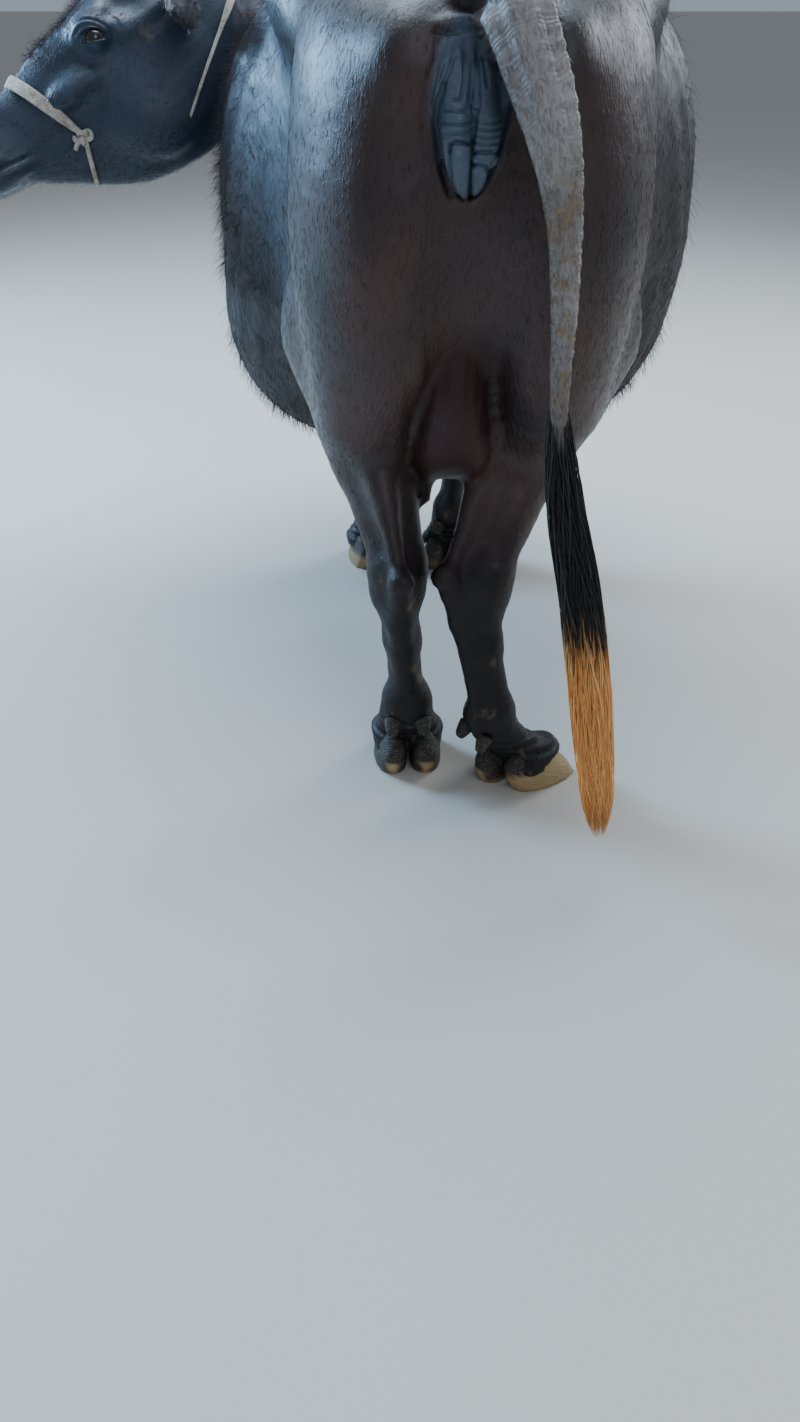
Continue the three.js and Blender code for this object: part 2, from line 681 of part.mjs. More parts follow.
for (const [name, s] of [["left", -1], ["right", 1]]) {
  const leaf = largest(clearOf(ear(s), head, neck));
  const curl = largest(clearOf(horn(s), head, neck, leaf));
  keep(`ear_${name}`, leaf, COLOURS.hide);
  keep(`horn_${name}`, curl, COLOURS.horn);
}

// Legs
for (const [place, legs, fieldOf] of [["hind", HIND, hindField], ["fore", FORE, foreField]]) {
  for (const [name, leg] of Object.entries(legs)) {
    const axes = heading(leg.turn);
    const top = place === "hind" ? leg.stifle : leg.elbow;
    const bend = place === "hind" ? leg.gaskin : leg.arm;
    const joint = place === "hind" ? leg.hock : leg.knee;
    const spine = [top, bend, joint, leg.cannon, leg.fetlock, offset(leg.foot, axes, 0, 0, 52)];
    let limb = wrap(fieldOf(leg), spine, { rows: 19, caps: 2, sides: 12, reach: 170, up: axes.ahead });
    limb = limb.intersect(beyond(vec(0, 0, 24), vec(0, 0, 1)));
    if (place === "hind") limb = limb.intersect(beyond(vec(0, 0, LEG_CUT - GAP), vec(0, 0, -1)));
    limb = clearOf(limb, torso, udder);
    for (const [which, k] of [["inner", -leg.side], ["outer", leg.side]]) {
      const hoof = claw(leg, k);
      const spur = dewclaw(leg, k);
      limb = clearOf(limb, hoof, spur);
      keep(`claw_${place}_${name}_${which}`, hoof, COLOURS.claw);
      keep(`dewclaw_${place}_${name}_${which}`, spur, COLOURS.horn);
    }
    keep(`${place}leg_${name}`, largest(limb), COLOURS.hide);
  }
}

// Tail: a bare dock, then the long hair of the switch
const TAIL_PATH = [
  vec(0, 20, 1275), vec(22, -60, 1262), vec(50, -118, 1185), vec(78, -148, 1110), vec(100, -163, 1021),
  vec(111, -170, 902), vec(114, -180, 760), vec(131, -190, 632), vec(160, -212, 500),
  vec(181, -238, 380), vec(199, -270, 245), vec(217, -300, 98),
];
const tailWide = profile([[0, 46], [0.1, 50], [0.2, 42], [0.3, 29], [0.42, 21], [0.5, 17], [1, 6]]);
const dockWhole = taper(TAIL_PATH, tailWide, (t) => tailWide(t) * 0.85, { rows: 26, sides: 12 });
const tailCurve = new THREE.CatmullRomCurve3(TAIL_PATH, false, "centripetal");
const tailCut = { at: tailCurve.getPointAt(TAIL_CUT), along: tailCurve.getTangentAt(TAIL_CUT) };
const dock = largest(
  clearOf(dockWhole.subtract(beyond(tailCut.at, tailCut.along)), torso, vulva),
);
keep("tail_dock", dock, COLOURS.hide);
const switchPath = [0, 0.2, 0.4, 0.6, 0.8, 1].map((t) => tailCurve.getPointAt(mix(TAIL_CUT - 0.02, 1, t)));
const switchWide = profile([[0, 22], [0.15, 30], [0.4, 37], [0.65, 41], [0.86, 35], [0.96, 22], [1, 9]]);
const hank = taper(switchPath, switchWide, (t) => switchWide(t) * 0.7, { rows: 12, sides: 12 });
const random = seeded(11);
let hair = hank;
for (let i = 0; i < LOCKS; i += 1) {
  const start = 0.02 + 0.62 * ((i + 0.7 * random()) / LOCKS);
  const finish = Math.min(start + 0.28 + 0.2 * random(), 1.02);
  const angle = i * 2.4 + random();
  const along = tailCurve.getTangentAt(TAIL_CUT);
  const side = new THREE.Vector3().crossVectors(along, vec(0, 1, 0)).normalize();
  const out = side.multiplyScalar(Math.cos(angle)).addScaledVector(vec(0, 1, 0), 0.7 * Math.sin(angle));
  const place = (t, lift) => {
    const at = tailCurve.getPointAt(Math.min(mix(TAIL_CUT, 1, t), 1));
    return at.addScaledVector(out, switchWide(t) * lift);
  };
  const tip = place(finish, 1.1 + 0.35 * random()).add(vec(0, 0, finish > 0.95 ? -14 * random() : 0));
  const points = [place(start, 0.45), place(mix(start, finish, 0.5), 0.98), tip];
  const wide = (t) => 9 * Math.sin(Math.PI * Math.min(0.22 + 0.5 * t, 1)) * (1 - t) + 1.2;
  hair = hair.add(taper(points, wide, (t) => 0.45 * wide(t) + 0.8, { rows: 3, sides: 4, up: out }));
}
keep("tail_switch", largest(hair.intersect(beyond(shifted(tailCut, GAP), tailCut.along))), COLOURS.switchHair);

// Halter: a flat band round the nose with its knot, and a thinner strap behind the jaw
function hoop(solid, centre, a, downAt, half, thick, sides) {
  const body = new THREE.Mesh(geometryOf(solid), new THREE.MeshBasicMaterial({ side: THREE.DoubleSide }));
  const surface = (origin, ray) => {
    const hits = new THREE.Raycaster(origin, ray).intersectObject(body);
    return hits[hits.length - 1].distance;
  };
  const corners = [];
  for (let k = 0; k < sides; k += 1) {
    const angle = (2 * Math.PI * k) / sides;
    const b = downAt(Math.sin(angle));
    const through = new THREE.Vector3().crossVectors(a, b).normalize();
    const ray = a.clone().multiplyScalar(Math.cos(angle)).addScaledVector(b, Math.sin(angle));
    for (const [shift, lift] of [[-1, -2], [1, -2], [1, thick], [-1, thick]]) {
      const origin = centre.clone().addScaledVector(through, shift * half);
      corners.push(origin.clone().addScaledVector(ray, surface(origin, ray) + lift));
    }
  }
  const index = [];
  for (let k = 0; k < sides; k += 1) {
    const next = (k + 1) % sides;
    for (let c = 0; c < 4; c += 1) {
      const d = (c + 1) % 4;
      index.push(4 * k + c, 4 * next + c, 4 * next + d, 4 * k + c, 4 * next + d, 4 * k + d);
    }
  }
  return facingOut(corners, index);
}

// The noseband bends at the knot: it leans back over the nose and forward under the jaw
const noseDown = (low) => {
  const share = Math.min(Math.max((low + 0.15) / 0.3, 0), 1);
  const lean = -NOSEBAND_LEAN + share * (NOSEBAND_LEAN + 0.35);
  return onHead(0, lean, -1).sub(onHead(0, 0, 0)).normalize();
};
const noseband = hoop(head, onHead(0, NOSEBAND - 29, -186), headRight, noseDown, 11, 5, 36);
const knotPlace = onHead(-62, NOSEBAND - 30, -186);
const knot = largest(clearOf(sphere(knotPlace, vec(15, 20, 17), 12, 8, headTurn), head));
keep("halter_knot", knot, COLOURS.strap);
keep("halter_noseband", largest(clearOf(noseband, head, knot)), COLOURS.strap);
const strapDown = onHead(0, 0.81, -0.58).sub(onHead(0, 0, 0)).normalize();
const neckStrap = hoop(head.add(neck), onHead(0, -38, -136), headRight, () => strapDown, 8, 5, 22);
keep("halter_neck_strap", largest(clearOf(neckStrap, neck, head, torso)), COLOURS.strap);

keep("torso", torso, COLOURS.hide);
keep("neck", neck, COLOURS.hide);
keep("head", head, COLOURS.hide);
keep("udder", udder, COLOURS.udder);
keep("vulva", vulva, COLOURS.bare);

const buffalo = new THREE.Group();
for (const [name, { solid, material }] of nodes) {
  const mesh = new THREE.Mesh(geometryOf(solid), material);
  mesh.name = name;
  buffalo.add(mesh);
}

// The origin is on the floor, under the middle of her box.
const box = new THREE.Box3().setFromObject(buffalo);
buffalo.position.set(-(box.min.x + box.max.x) / 2, -(box.min.y + box.max.y) / 2, -box.min.z);

export default buffalo;
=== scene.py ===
import math

import bmesh
import bpy
import numpy as np
from mathutils import Matrix, Vector
from mathutils.bvhtree import BVHTree


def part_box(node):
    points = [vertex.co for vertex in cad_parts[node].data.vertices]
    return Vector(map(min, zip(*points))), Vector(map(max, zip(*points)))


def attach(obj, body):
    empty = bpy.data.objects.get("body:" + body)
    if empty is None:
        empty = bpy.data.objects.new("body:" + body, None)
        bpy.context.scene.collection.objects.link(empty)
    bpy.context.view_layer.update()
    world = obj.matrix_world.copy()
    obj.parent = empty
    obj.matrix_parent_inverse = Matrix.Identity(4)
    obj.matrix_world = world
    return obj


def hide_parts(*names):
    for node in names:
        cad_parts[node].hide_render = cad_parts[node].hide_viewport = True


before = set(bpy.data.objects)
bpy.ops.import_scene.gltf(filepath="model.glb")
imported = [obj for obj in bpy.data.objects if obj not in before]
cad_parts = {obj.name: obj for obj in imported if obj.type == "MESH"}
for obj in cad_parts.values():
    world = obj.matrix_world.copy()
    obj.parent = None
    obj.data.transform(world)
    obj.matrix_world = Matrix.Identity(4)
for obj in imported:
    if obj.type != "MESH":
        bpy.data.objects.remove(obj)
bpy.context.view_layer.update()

# Lengths of her body are in millimetres from the middle of her rump, as in the part.
# X runs to her right, Y forward and Z up.
MM = 0.001
COAT_DEPTH = 4.0
SKIN_VOXEL = 0.011
BODY_BLEND = 60.0
LIMB_BLEND = 26.0
RANDOM = np.random.default_rng(7)


def unit(vector):
    vector = np.asarray(vector, float)
    return vector / np.linalg.norm(vector)


def smooth(value, low, high):
    t = np.clip((value - low) / (high - low), 0.0, 1.0)
    return t * t * (3.0 - 2.0 * t)


def mix(a, b, t):
    return a + (b - a) * t


# The head's own axes: x to her right, y down the face from the poll, z out of the forehead
POLL = np.array([-546.0, 900.0, 1284.0])
HEAD_PITCH, HEAD_HEADING, HEAD_ROLL = map(math.radians, (26.5, 111, 19))
EYE = np.array([94.0, 214.0, -69.0])
EYE_RADIUS = 20.0
head_ahead = np.array([
    -math.sin(HEAD_HEADING) * math.cos(HEAD_PITCH),
    math.cos(HEAD_HEADING) * math.cos(HEAD_PITCH),
    -math.sin(HEAD_PITCH),
])
level = unit(np.cross(head_ahead, (0, 0, 1)))
head_right = math.cos(HEAD_ROLL) * level + math.sin(HEAD_ROLL) * np.cross(head_ahead, level)
head_top = np.cross(head_right, head_ahead)
HEAD_AXES = np.stack([head_right, head_ahead, head_top])


def on_head(x, y, z):
    return POLL + np.array([x, y, z], float) @ HEAD_AXES


def head_place(points):
    return (points - POLL) @ HEAD_AXES.T


eye_low, eye_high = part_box("eye_left")
SHIFT = np.array((eye_low + eye_high) / 2) - on_head(-EYE[0], EYE[1], EYE[2]) * MM


def to_row(points):
    return np.asarray(points, float) * MM + SHIFT


def to_body(points):
    return (np.asarray(points, float) - SHIFT) / MM


# Fields: each gives about the distance from points to a surface, below zero inside.
def profile(rows):
    at, value = np.array(rows, float).T
    slope = np.gradient(value)
    for k in range(len(at)):
        low, high = max(0, k - 1), min(len(at) - 1, k + 1)
        slope[k] = (value[high] - value[low]) / (at[high] - at[low])

    def curve(x):
        x = np.clip(x, at[0], at[-1])
        i = np.clip(np.searchsorted(at, x, "right") - 1, 0, len(at) - 2)
        span = at[i + 1] - at[i]
        t = (x - at[i]) / span
        bend = t * t * (3 - 2 * t)
        hermite = t * (1 - t) * span * (slope[i] * (1 - t) - slope[i + 1] * t)
        return mix(value[i], value[i + 1], bend) + hermite

    return curve


def ball(centre, radii, axes=None):
    centre, radii = np.asarray(centre, float), np.asarray(radii, float)

    def field(points):
        q = points - centre
        if axes is not None:
            q = q @ axes.T
        q = q / radii
        k0 = np.linalg.norm(q, axis=1)
        k1 = np.maximum(np.linalg.norm(q / radii, axis=1), 1e-9)
        return k0 * (k0 - 1) / k1

    return field


def cone(a, b, ra, rb):
    a, b = np.asarray(a, float), np.asarray(b, float)
    along = b - a
    reach = along @ along

    def field(points):
        q = points - a
        t = np.clip(q @ along / reach, 0, 1)
        q = q - t[:, None] * along
        return np.linalg.norm(q, axis=1) - mix(ra, rb, t)

    return field


def chain(points, radii):
    links = [cone(points[i], points[i + 1], radii[i], radii[i + 1]) for i in range(len(points) - 1)]
    return lambda p: np.min([link(p) for link in links], axis=0)


def join(d, e, soft):
    h = np.maximum(soft - np.abs(d - e), 0) / soft
    return np.minimum(d, e) - h * h * soft / 4


def join_max(d, e, soft):
    h = np.maximum(soft - np.abs(d - e), 0) / soft
    return np.maximum(d, e) + h * h * soft / 4


def hollow(d, e, soft):
    return join_max(d, -e, soft)


def blend(parts, soft):
    def field(points):
        d = parts[0](points)
        for part in parts[1:]:
            d = join(d, part(points), soft)
        return d

    return field


def barrel(width, top, low, middle, sway, above, below, start, stop, ends, lean=0.0):
    def field(points):
        x, y, z = points.T
        centre = middle(y)
        x = x + lean * np.maximum(centre - z, 0)
        upper = z > centre
        half = np.where(upper, top(y) - centre, centre - low(y))
        power = np.where(upper, above, below)
        across = np.abs(x - sway(y)) / width(y)
        tall = np.abs(z - centre) / half
        share = (across ** power + tall ** power + 1e-12) ** (1 / power)
        round_part = (share - 1) * np.minimum(width(y), half)
        return join_max(round_part, np.maximum(start - y, y - stop), ends)

    return field


# Trunk and hindquarters
spine_sway = profile([[0, 0], [300, 12], [700, 2], [1000, -30], [1250, -75], [1450, -120]])
trunk = barrel(
    width=profile([
        [-60, 150], [100, 225], [260, 262], [400, 332], [540, 416], [680, 460], [840, 445],
        [1000, 392], [1150, 322], [1260, 262], [1340, 196], [1400, 60],
    ]),
    top=profile([
        [-60, 1250], [60, 1300], [250, 1335], [420, 1338], [600, 1326], [800, 1320], [1000, 1334],
        [1150, 1350], [1260, 1320], [1340, 1240], [1400, 1060],
    ]),
    low=profile([
        [-60, 900], [100, 760], [260, 620], [400, 520], [540, 446], [680, 420], [840, 430],
        [1000, 492], [1150, 560], [1260, 610], [1340, 680], [1400, 840],
    ]),
    middle=profile([
        [-60, 1080], [100, 1040], [260, 960], [400, 880], [540, 835], [680, 822], [840, 815],
        [1000, 835], [1150, 880], [1290, 925], [1400, 940],
    ]),
    sway=spine_sway, above=2.8, below=2.95, start=-70, stop=1398, ends=90, lean=0.09,
)


def rump(side):
    def at(x, y, z):
        return (side * x, y, z)

    return [
        ball(at(256, 405, 1232), (62, 78, 46)),
        cone(at(226, 375, 1202), at(138, 70, 1150), 62, 74),
        ball(at(98, -40, 1160), (46, 46, 56)),
        ball(at(146, 150, 1000), (126, 205, 250)),
        ball(at(150, 150, 840), (112, 180, 250)),
        ball(at(120, 10, 930), (80, 92, 250)),
        ball(at(185, 285, 770), (108, 120, 150)),
        cone((side * 140 - 18, 62, 850), (side * 140 - 18, 75, 640), 80, 72),
    ]


# Where the joints of each leg stand. The right hind foot is turned out.
HIND = {
    "left": dict(
        side=-1, turn=4, stifle=(-185, 250, 745), gaskin=(-150, 120, 590), hock=(-108, 22, 394),
        cannon=(-100, 22, 285), fetlock=(-92, 30, 152), foot=(-90, 62, 0),
    ),
    "right": dict(
        side=1, turn=-56, stifle=(185, 250, 745), gaskin=(106, 120, 585), hock=(32, 14, 390),
        cannon=(36, 0, 285), fetlock=(60, -16, 150), foot=(122, 6, 0), foot_turn=-30, claw_turn=-50,
        splay=14, spread=40,
    ),
}
FORE = {
    "left": dict(
        side=-1, turn=10, elbow=(-255, 1090, 705), arm=(-225, 1040, 560), knee=(-185, 985, 392),
        cannon=(-172, 950, 270), fetlock=(-166, 925, 150), foot=(-172, 935, 0),
    ),
    "right": dict(
        side=1, turn=-8, elbow=(150, 1120, 705), arm=(112, 1060, 560), knee=(58, 985, 392),
        cannon=(36, 938, 270), fetlock=(24, 906, 150), foot=(20, 918, 0),
    ),
}


def heading(turn):
    turn = math.radians(turn)
    ahead = np.array([-math.sin(turn), math.cos(turn), 0])
    return ahead, np.array([ahead[1], -ahead[0], 0])


def stepped(point, turn, across, ahead, up):
    forward, sideways = heading(turn)
    return np.asarray(point, float) + sideways * across + forward * ahead + np.array([0, 0, up])


def digits(leg):
    def at(joint, *by):
        turn = leg.get("foot_turn", leg["turn"]) if joint == "foot" else leg["turn"]
        return stepped(leg[joint], turn, *by)

    parts = [
        cone(leg["fetlock"], at("fetlock", 0, 14, -38), 41, 38),
        ball(at("fetlock", 0, -8, 0), (44, 44, 40)),
    ]
    for k in (-1, 1):
        parts.append(cone(at("fetlock", k * 19, 8, -34), at("foot", k * 33, 6, 56), 31, 33))
        parts.append(cone(at("foot", k * 33, -30, 38), at("foot", k * 33, 22, 62), 31, 28))
    return parts


def hind_leg(leg):
    def at(joint, *by):
        return stepped(leg[joint], leg["turn"], *by)

    point = at("hock", 0, -70, 30)
    return blend([
        cone(leg["stifle"], leg["gaskin"], 112, 74),
        cone(leg["gaskin"], at("hock", 0, 10, 44), 72, 50),
        cone(at("gaskin", 0, -70, 20), point + np.array([0, 0, 6]), 34, 15),
        cone(point, at("hock", 0, -38, -60), 21, 22),
        ball(at("hock", 0, 8, 10), (54, 62, 66)),
        cone(at("hock", 0, 2, -30), at("cannon", 0, 6, 0), 45, 34),
        cone(at("cannon", 0, 6, 0), at("fetlock", 0, 4, 20), 33, 35),
        cone(at("hock", 0, -34, -60), at("fetlock", 0, -26, 26), 20, 21),
        *digits(leg),
    ], LIMB_BLEND)


def fore_leg(leg):
    def at(joint, *by):
        return stepped(leg[joint], leg["turn"], *by)

    return blend([
        cone(leg["elbow"], leg["arm"], 74, 66),
        cone(at("elbow", 0, -34, 6), at("arm", 0, -20, 0), 40, 44),
        cone(leg["arm"], at("knee", 0, 0, 50), 64, 44),
        ball(at("knee", 0, 6, 0), (48, 50, 58)),
        ball(at("knee", 0, -30, 22), (24, 24, 30)),
        cone(at("knee", 0, 4, -30), at("cannon", 0, 6, 0), 42, 32),
        cone(at("cannon", 0, 6, 0), at("fetlock", 0, 4, 20), 31, 36),
        cone(at("knee", 0, -26, -46), at("fetlock", 0, -24, 26), 20, 21),
        *digits(leg),
    ], LIMB_BLEND)


def shoulder(leg):
    s = leg["side"]
    sway = float(spine_sway(1150.0))
    return [
        cone((sway + s * 130, 1130, 1260), (sway + s * 245, 1290, 900), 60, 105),
        cone((sway + s * 245, 1290, 900), np.add(leg["elbow"], (0, 10, 20)), 100, 96),
        ball((sway + s * 215, 1120, 960), (95, 170, 220)),
    ]


NECK_PATH = np.array([
    (-20, 1110, 1020), (-80, 1215, 1040), (-180, 1268, 1060), (-300, 1238, 1085), (-398, 1150, 1112),
    (-470, 1040, 1140),
], float)


def strand(lifts, radii):
    return chain([point + (0, 0, lift) for point, lift in zip(NECK_PATH, lifts)], radii)


crest = strand([200, 190, 170, 150, 128, 112], [110, 100, 82, 70, 66, 66])
neck_middle = strand([0] * 6, [190, 165, 135, 118, 106, 100])
throat = strand([-190, -185, -165, -150, -125, -95], [150, 135, 110, 92, 80, 76])

body_field = blend([
    trunk, *rump(-1), *rump(1), ball((-12, 70, 930), (120, 100, 210)),
    *(cone(leg["stifle"], leg["gaskin"], 112, 74) for leg in HIND.values()),
    *(cone(leg["gaskin"], leg["hock"], 74, 50) for leg in HIND.values()),
    *shoulder(FORE["left"]), *shoulder(FORE["right"]), crest, neck_middle, throat,
    ball((-70, 1240, 930), (205, 170, 250)), ball((-85, 1320, 760), (105, 110, 120)),
], BODY_BLEND)


# Head
def head_ball(x, y, z, rx, ry, rz):
    return ball(on_head(x, y, z), (rx, ry, rz), HEAD_AXES)


face = barrel(
    width=profile([
        [-60, 66], [0, 90], [60, 102], [130, 102], [200, 98], [260, 86], [330, 68], [400, 58], [470, 62],
        [525, 70], [575, 58],
    ]),
    top=profile([
        [-60, -30], [0, -2], [60, 12], [130, 22], [200, 18], [260, 2], [330, -14], [400, -28], [460, -40],
        [520, -54], [575, -84],
    ]),
    low=profile([
        [-60, -225], [0, -268], [60, -304], [130, -324], [200, -324], [260, -310], [330, -276], [400, -234],
        [460, -200], [520, -184], [575, -156],
    ]),
    middle=profile([[-60, -125], [0, -115], [130, -106], [220, -104], [300, -112], [400, -120], [575, -120]]),
    sway=lambda y: 0 * y, above=2.9, below=1.9, start=-70, stop=574, ends=16,
)
skull = [lambda p: face(head_place(p))]
for s in (-1, 1):
    skull += [
        head_ball(s * 82, 200, -52, 36, 56, 36),
        head_ball(s * 58, 175, -200, 40, 100, 92),
        head_ball(s * 70, 275, -112, 24, 80, 26),
        head_ball(s * 36, 534, -88, 32, 36, 32),
        head_ball(s * 32, 496, -170, 27, 60, 17),
    ]
skull_blend = blend([*skull, neck_middle, throat], LIMB_BLEND)
temples = [head_ball(s * 112, 118, -40, 26, 52, 18) for s in (-1, 1)]


# The lids hug each eye; between them an almond opening shows the eyeball.
def eye_axes(s):
    out = unit(s * 0.95 * head_right + 0.16 * head_ahead + 0.22 * head_top)
    rising = head_ahead + 0.44 * head_top
    slit = unit(rising - rising @ out * out)
    return out, slit, np.cross(out, slit) * s


def eye_centre(s):
    return on_head(s * EYE[0], EYE[1], EYE[2])


def head_field(p):
    d = skull_blend(p)
    for temple in temples:
        d = hollow(d, temple(p), 20)
    for s in (-1, 1):
        out, slit, up = eye_axes(s)
        q = p - eye_centre(s)
        r = np.linalg.norm(q, axis=1)
        a, b, c = q @ slit, q @ up, q @ out
        d = join(d, r - (EYE_RADIUS + 4.5 + COAT_DEPTH), 9)
        half = 21.0
        lift = np.where(b > 0, 6.8, 5.2) * np.sqrt(np.clip(1 - (a / half) ** 2, 0, 1))
        opening = np.maximum(np.abs(b) - lift, np.abs(a) - half)
        opening = np.maximum(opening, (EYE_RADIUS - 3.5 + COAT_DEPTH) - r)
        opening = np.maximum(opening, -c)
        d = hollow(d, opening, 2.0)
        nostril = ball(on_head(s * 38, 566, -96), (11, 20, 17), HEAD_AXES)
        d = hollow(d, nostril(p), 6)
    return d


# Ears: thin cupped leaves held out sideways
def ear_frame(s):
    return on_head(s * 80, 34, -92), on_head(s * 188, 46, -102), on_head(s * 316, 106, -146)


EAR_LEAF = profile([[0, 24], [0.15, 40], [0.4, 60], [0.65, 54], [0.88, 28], [1, 9]])


def ear_place(p, s):
    root, middle, tip = ear_frame(s)
    bow = middle * 1.15 - 0.075 * (root + tip)
    along = unit(tip - root)
    t = np.clip(((p - root) @ (tip - root)) / ((tip - root) @ (tip - root)), -0.1, 1.1)
    for _ in range(3):
        share = t[:, None]
        spine = root * (1 - share) ** 2 + 2 * bow * (share * (1 - share)) + tip * share ** 2
        t = np.clip(t + ((p - spine) @ along) / np.linalg.norm(tip - root), -0.1, 1.1)
    side = unit(np.cross(along, head_ahead))
    top = np.cross(side, along)
    q = p - spine
    return t, q @ side, q @ top, q @ along


def ear_field(s):
    def field(p):
        t, v, w, over = ear_place(p, s)
        leaf = EAR_LEAF(np.clip(t, 0, 1)) - 2
        cup = 20 * smooth(t, 0.0, 0.25) * (1 - smooth(t, 0.7, 1.0) * 0.7)
        bend = cup * ((v / leaf) ** 2 - 0.55)
        thick = mix(15, 4.2, smooth(t, 0.02, 0.3)) + COAT_DEPTH
        edge = np.abs(v) - leaf
        flat = np.abs(w - bend) - thick
        d = join_max(edge, flat, 6)
        return np.maximum(d, np.maximum(over, -over - 40))

    return field


# Udder, vulva and the bare part of the tail
udder_parts = [ball((-20, 85, 710), (70, 112, 156)), ball((-12, 190, 650), (108, 150, 96))]
udder_parts += [ball((-20 + k * 34, 85, 632), (38, 90, 78)) for k in (-1, 1)]
for k in (-1, 1):
    for y in (100, 215):
        udder_parts.append(cone((-12 + k * 48, y, 590), (-12 + k * 52, y, 488), 22, 12))
udder_field = blend(udder_parts, 24)

vulva_parts = []
for k in (-1, 1):
    vulva_parts.append(cone((-14 + k * 17, -66, 1150), (-14 + k * 19, -84, 1060), 20, 22))
    vulva_parts.append(cone((-14 + k * 19, -84, 1060), (-14 + k * 9, -82, 1022), 20, 13))
vulva_blend = blend(vulva_parts, 7)
cleft = cone((-14, -112, 1140), (-14, -112, 1016), 7, 7)


def curve_through(points, count):
    """Points evenly spaced along a centripetal curve through the given ones."""
    points = np.asarray(points, float)
    padded = np.vstack([2 * points[0] - points[1], points, 2 * points[-1] - points[-2]])
    places = []
    for i in range(1, len(padded) - 2):
        p0, p1, p2, p3 = padded[i - 1:i + 3]
        d0, d1, d2 = (np.sqrt(np.linalg.norm(b - a)) for a, b in ((p0, p1), (p1, p2), (p2, p3)))
        m1 = ((p1 - p0) / d0 - (p2 - p0) / (d0 + d1) + (p2 - p1) / d1) * d1
        m2 = ((p2 - p1) / d1 - (p3 - p1) / (d1 + d2) + (p3 - p2) / d2) * d1
        t = np.linspace(0, 1, 24, endpoint=False)[:, None]
        places.append(
            (2 * t ** 3 - 3 * t ** 2 + 1) * p1 + (t ** 3 - 2 * t ** 2 + t) * m1
            + (3 * t ** 2 - 2 * t ** 3) * p2 + (t ** 3 - t ** 2) * m2
        )
    places.append(points[-1:])
    dense = np.vstack(places)
    length = np.concatenate([[0], np.cumsum(np.linalg.norm(np.diff(dense, axis=0), axis=1))])
    at = np.linspace(0, length[-1], count)
    return np.stack([np.interp(at, length, dense[:, k]) for k in range(3)], axis=1)


TAIL_PATH = [
    (0, 20, 1275), (22, -60, 1262), (50, -118, 1185), (78, -148, 1110), (100, -163, 1021), (111, -170, 902),
    (114, -180, 760), (131, -190, 632), (160, -212, 500), (181, -238, 380), (199, -270, 245), (217, -300, 98),
]
TAIL_CUT = 0.47
tail_wide = profile([[0, 46], [0.1, 50], [0.2, 42], [0.3, 29], [0.42, 21], [0.5, 17], [1, 6]])
TAIL = curve_through(TAIL_PATH, 61)
TAIL_CORE = 56
tail_field = chain(TAIL[:TAIL_CORE], 0.94 * tail_wide(np.linspace(0, 1, 61)[:TAIL_CORE]))

hind_left, hind_right = hind_leg(HIND["left"]), hind_leg(HIND["right"])
fore_left, fore_right = fore_leg(FORE["left"]), fore_leg(FORE["right"])
ear_left, ear_right = ear_field(-1), ear_field(1)


def near(box_low, box_high, part):
    """The field, worked out only for points inside a box, and far away outside it."""
    box_low, box_high = np.asarray(box_low, float), np.asarray(box_high, float)

    def field(points):
        d = np.full(len(points), 400.0)
        inside = np.all((points > box_low) & (points < box_high), axis=1)
        if inside.any():
            d[inside] = part(points[inside])
        return d

    return field


head_part = near((-1300, 300, 500), (-150, 1400, 1600), head_field)
ear_left_part = near((-900, 300, 900), (0, 1200, 1600), ear_left)
ear_right_part = near((-900, 700, 900), (0, 1600, 1600), ear_right)
hind_part = near((-500, -250, -50), (500, 500, 900), lambda p: join(hind_left(p), hind_right(p), 10))
fore_part = near((-500, 700, -50), (500, 1400, 900), lambda p: join(fore_left(p), fore_right(p), 10))
udder_part = near((-200, -150, 400), (200, 450, 950), udder_field)
tail_part = near((-150, -400, 60), (320, 200, 1400), tail_field)
vulva_part = near((-120, -200, 960), (90, 60, 1220), lambda p: hollow(vulva_blend(p), cleft(p), 5))


def skin_field(p):
    d = body_field(p)
    _, y, z = p.T
    legs = hind_part(p)
    share = smooth(655 - z, 0, 90) * smooth(365 - y, 0, 80)
    d = mix(d, np.minimum(legs, 250), share)
    d = join(d, fore_part(p), 40)
    d = join(d, head_part(p), 24)
    d = join(d, udder_part(p), 14)
    d = join(d, tail_part(p), 20)
    d = join(d, vulva_part(p), 10)
    d = join(d, ear_left_part(p), 14)
    d = join(d, ear_right_part(p), 14)
    return d


def slope_of(field, points, step=0.8):
    here = field(points)
    slope = np.empty_like(points)
    for k in range(3):
        moved = points.copy()
        moved[:, k] += step
        slope[:, k] = (field(moved) - here) / step
    return here, slope


LONGEST_STEP = 30.0


def settled(points, rounds):
    """Moves points onto the skin, a coat's depth below the part's surface."""
    points = points.copy()
    for _ in range(rounds):
        here, slope = slope_of(skin_field, points)
        size = np.maximum(np.sum(slope * slope, axis=1), 0.2)
        move = np.clip(-(here + COAT_DEPTH) / size, -LONGEST_STEP, LONGEST_STEP)
        points += move[:, None] * slope
    return points


# One skin over all the flesh
FLESH = [
    "torso", "neck", "head", "ear_left", "ear_right", "hindleg_left", "hindleg_right", "foreleg_left",
    "foreleg_right", "tail_dock", "udder", "vulva",
]


# How far, in metres, the nodes are swollen so that they grow together
FLESH_SWELL, EAR_SWELL = 0.003, 0.007


def swollen(name, by):
    """A closed copy of a node, its surface moved out a little."""
    shell = bmesh.new()
    shell.from_mesh(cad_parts[name].data)
    bmesh.ops.remove_doubles(shell, verts=shell.verts, dist=1e-5)
    bmesh.ops.recalc_face_normals(shell, faces=shell.faces)
    shell.normal_update()
    for vert in shell.verts:
        vert.co += vert.normal * by
    return shell


